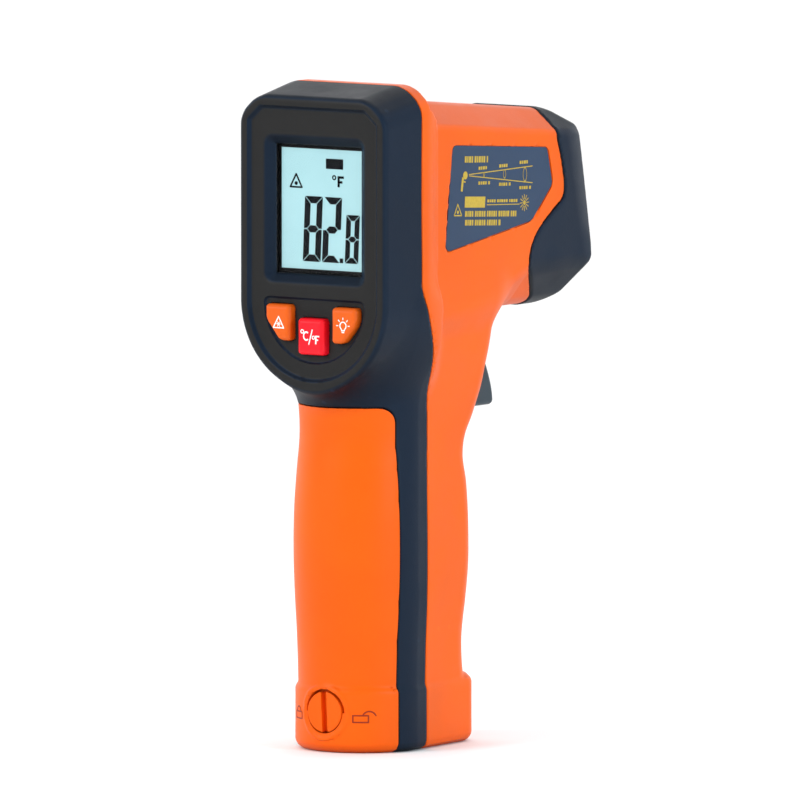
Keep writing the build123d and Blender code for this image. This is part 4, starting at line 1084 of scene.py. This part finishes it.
# -------- trigger spring
def spring_mesh(radius, wire, turns, low, high, z, sides=8, per_turn=28):
    """A compression spring along Y as a closed tube, its end turns laid flat."""
    verts, faces = [], []
    count = int(turns * per_turn) + 1
    for k in range(count):
        share = k / (count - 1)
        turn = share * turns * 2 * math.pi
        y = low + wire + (high - low - 2 * wire) * float(curve(share, SPRING_REST))
        out = Vector((math.cos(turn), 0, math.sin(turn)))
        for j in range(sides):
            t = 2 * math.pi * j / sides
            spot = out * (radius + wire * math.cos(t)) + Vector((0, y + wire * math.sin(t), z))
            verts.append(tuple(spot))
    for k in range(count - 1):
        for j in range(sides):
            a, b = k * sides + j, k * sides + (j + 1) % sides
            faces.append((a, b, b + sides, a + sides))
    faces.append(tuple(range(sides)))
    faces.append(tuple(reversed(range((count - 1) * sides, count * sides))))
    return verts, faces


spring_verts, spring_faces = spring_mesh(SPRING_RADIUS, SPRING_WIRE, SPRING_TURNS, SPRING_REAR,
                                         SPRING_FRONT, SPRING_Z)
spring = mesh_object("return_spring", to_frame(spring_verts), spring_faces, MATERIALS["steel"], 50)
place(spring, "trigger_spring", "housing", "steel")
tuple(to_frame((0, SPRING_REAR, SPRING_Z)))
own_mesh(spring)


# -------- CAD nodes that stay
CAD_LOOKS = {
    "steel": "lock_clip thermopile_sensor trigger_pin board_screws bridge_contact plus_contact "
             "minus_contact housing_screws",
    "black_plastic": "lens_ring trigger_switch controller_chip buzzer battery_tray",
    "light_plastic": "switch_plunger display_frame backlight",
    "brass_parts": "sensor_pins laser_module", "board_green": "sensor_board main_board",
    "keypad_rubber": "keypad_mat contact_strip", "cell_can": "battery_left battery_right",
    "lens_glass": "ir_lens", "laser_glass": "laser_window", "carbon": "key_contacts",
    "clear_window": "display_window", "display_glass": "display_panel", "aluminium": "optic_tube",
}
for slot_name, nodes in CAD_LOOKS.items():
    for name in nodes.split():
        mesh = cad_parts[name].data
        mesh.materials.clear()
        mesh.materials.append(MATERIALS[slot_name])


# -------- stage, lights and camera
TARGET = Vector((0.0, 30.95 + REAR, 81.35)) * MM
BACK = Vector((0.5854, -0.8057, 0.0908))  # from the object towards the camera
STAGE = 9  # half width of the floor and the backdrop, metres
camera_data = bpy.data.cameras.new("camera")
camera_data.sensor_width = 36.0
camera_data.lens = 949.5
camera = bpy.data.objects.new("camera", camera_data)
bpy.context.collection.objects.link(camera)
camera.location = TARGET + BACK * 5.0
camera.rotation_euler = BACK.to_track_quat("Z", "Y").to_euler()
bpy.context.scene.camera = camera


def floor_material():
    """Pale studio paper with a faint tooth."""
    n = Nodes("studio_paper")
    tone = n.ramp(n.noise(6, 2), 0.3, 0.7, 0, 1)
    n.set(Base_Color=n.mix(tone, (0.94, 0.94, 0.94), (0.96, 0.96, 0.96)), Roughness=0.8)
    n.set(Normal=n.bump(n.noise(900, 3), 0.05, 0.0001))
    return n.material


def backdrop_material():
    """White studio cloth, evenly lit from behind."""
    n = Nodes("backdrop_cloth")
    weave = n.ramp(n.noise(40, 3), 0.3, 0.7, 0, 1)
    tone = n.mix(weave, (0.98, 0.98, 0.98), (1.0, 1.0, 1.0))
    n.set(Base_Color=tone, Roughness=0.9, Emission_Color=tone, Emission_Strength=0.85)
    return n.material


lying = [(-STAGE, -STAGE, 0), (STAGE, -STAGE, 0), (STAGE, STAGE, 0), (-STAGE, STAGE, 0)]
upright = [(-STAGE, 0, 0), (STAGE, 0, 0), (STAGE, 0, STAGE), (-STAGE, 0, STAGE)]
floor = mesh_object("floor", lying, [(0, 1, 2, 3)], floor_material())
backdrop = mesh_object("backdrop", upright, [(0, 1, 2, 3)], backdrop_material())
backdrop.location = TARGET - BACK * 3.0 - Vector((0, 0, 1.0))
backdrop.rotation_euler = (0, 0, math.atan2(BACK.x, -BACK.y))


def area_light(name, spot, size, power, colour=(1, 1, 1)):
    """A square soft light aimed at the middle of the object."""
    data = bpy.data.lights.new(name, "AREA")
    data.size = size
    data.energy = power
    data.color = colour
    lamp = bpy.data.objects.new(name, data)
    bpy.context.collection.objects.link(lamp)
    lamp.location = spot
    lamp.rotation_euler = (Vector(spot) - TARGET).to_track_quat("Z", "Y").to_euler()


area_light("key", (-0.5, -1.1, 0.8), 0.5, 10)
area_light("side", (0.85, -0.1, 0.3), 0.25, 3.2, (0.66, 0.84, 1.0))
area_light("top", (0.1, 0.2, 1.3), 0.6, 3)
world = bpy.data.worlds.new("world")
world.use_nodes = True
world.node_tree.nodes["Background"].inputs["Color"].default_value = (1, 1, 1, 1)
world.node_tree.nodes["Background"].inputs["Strength"].default_value = 0.58
bpy.context.scene.world = world
bpy.context.scene.view_settings.view_transform = "Standard"
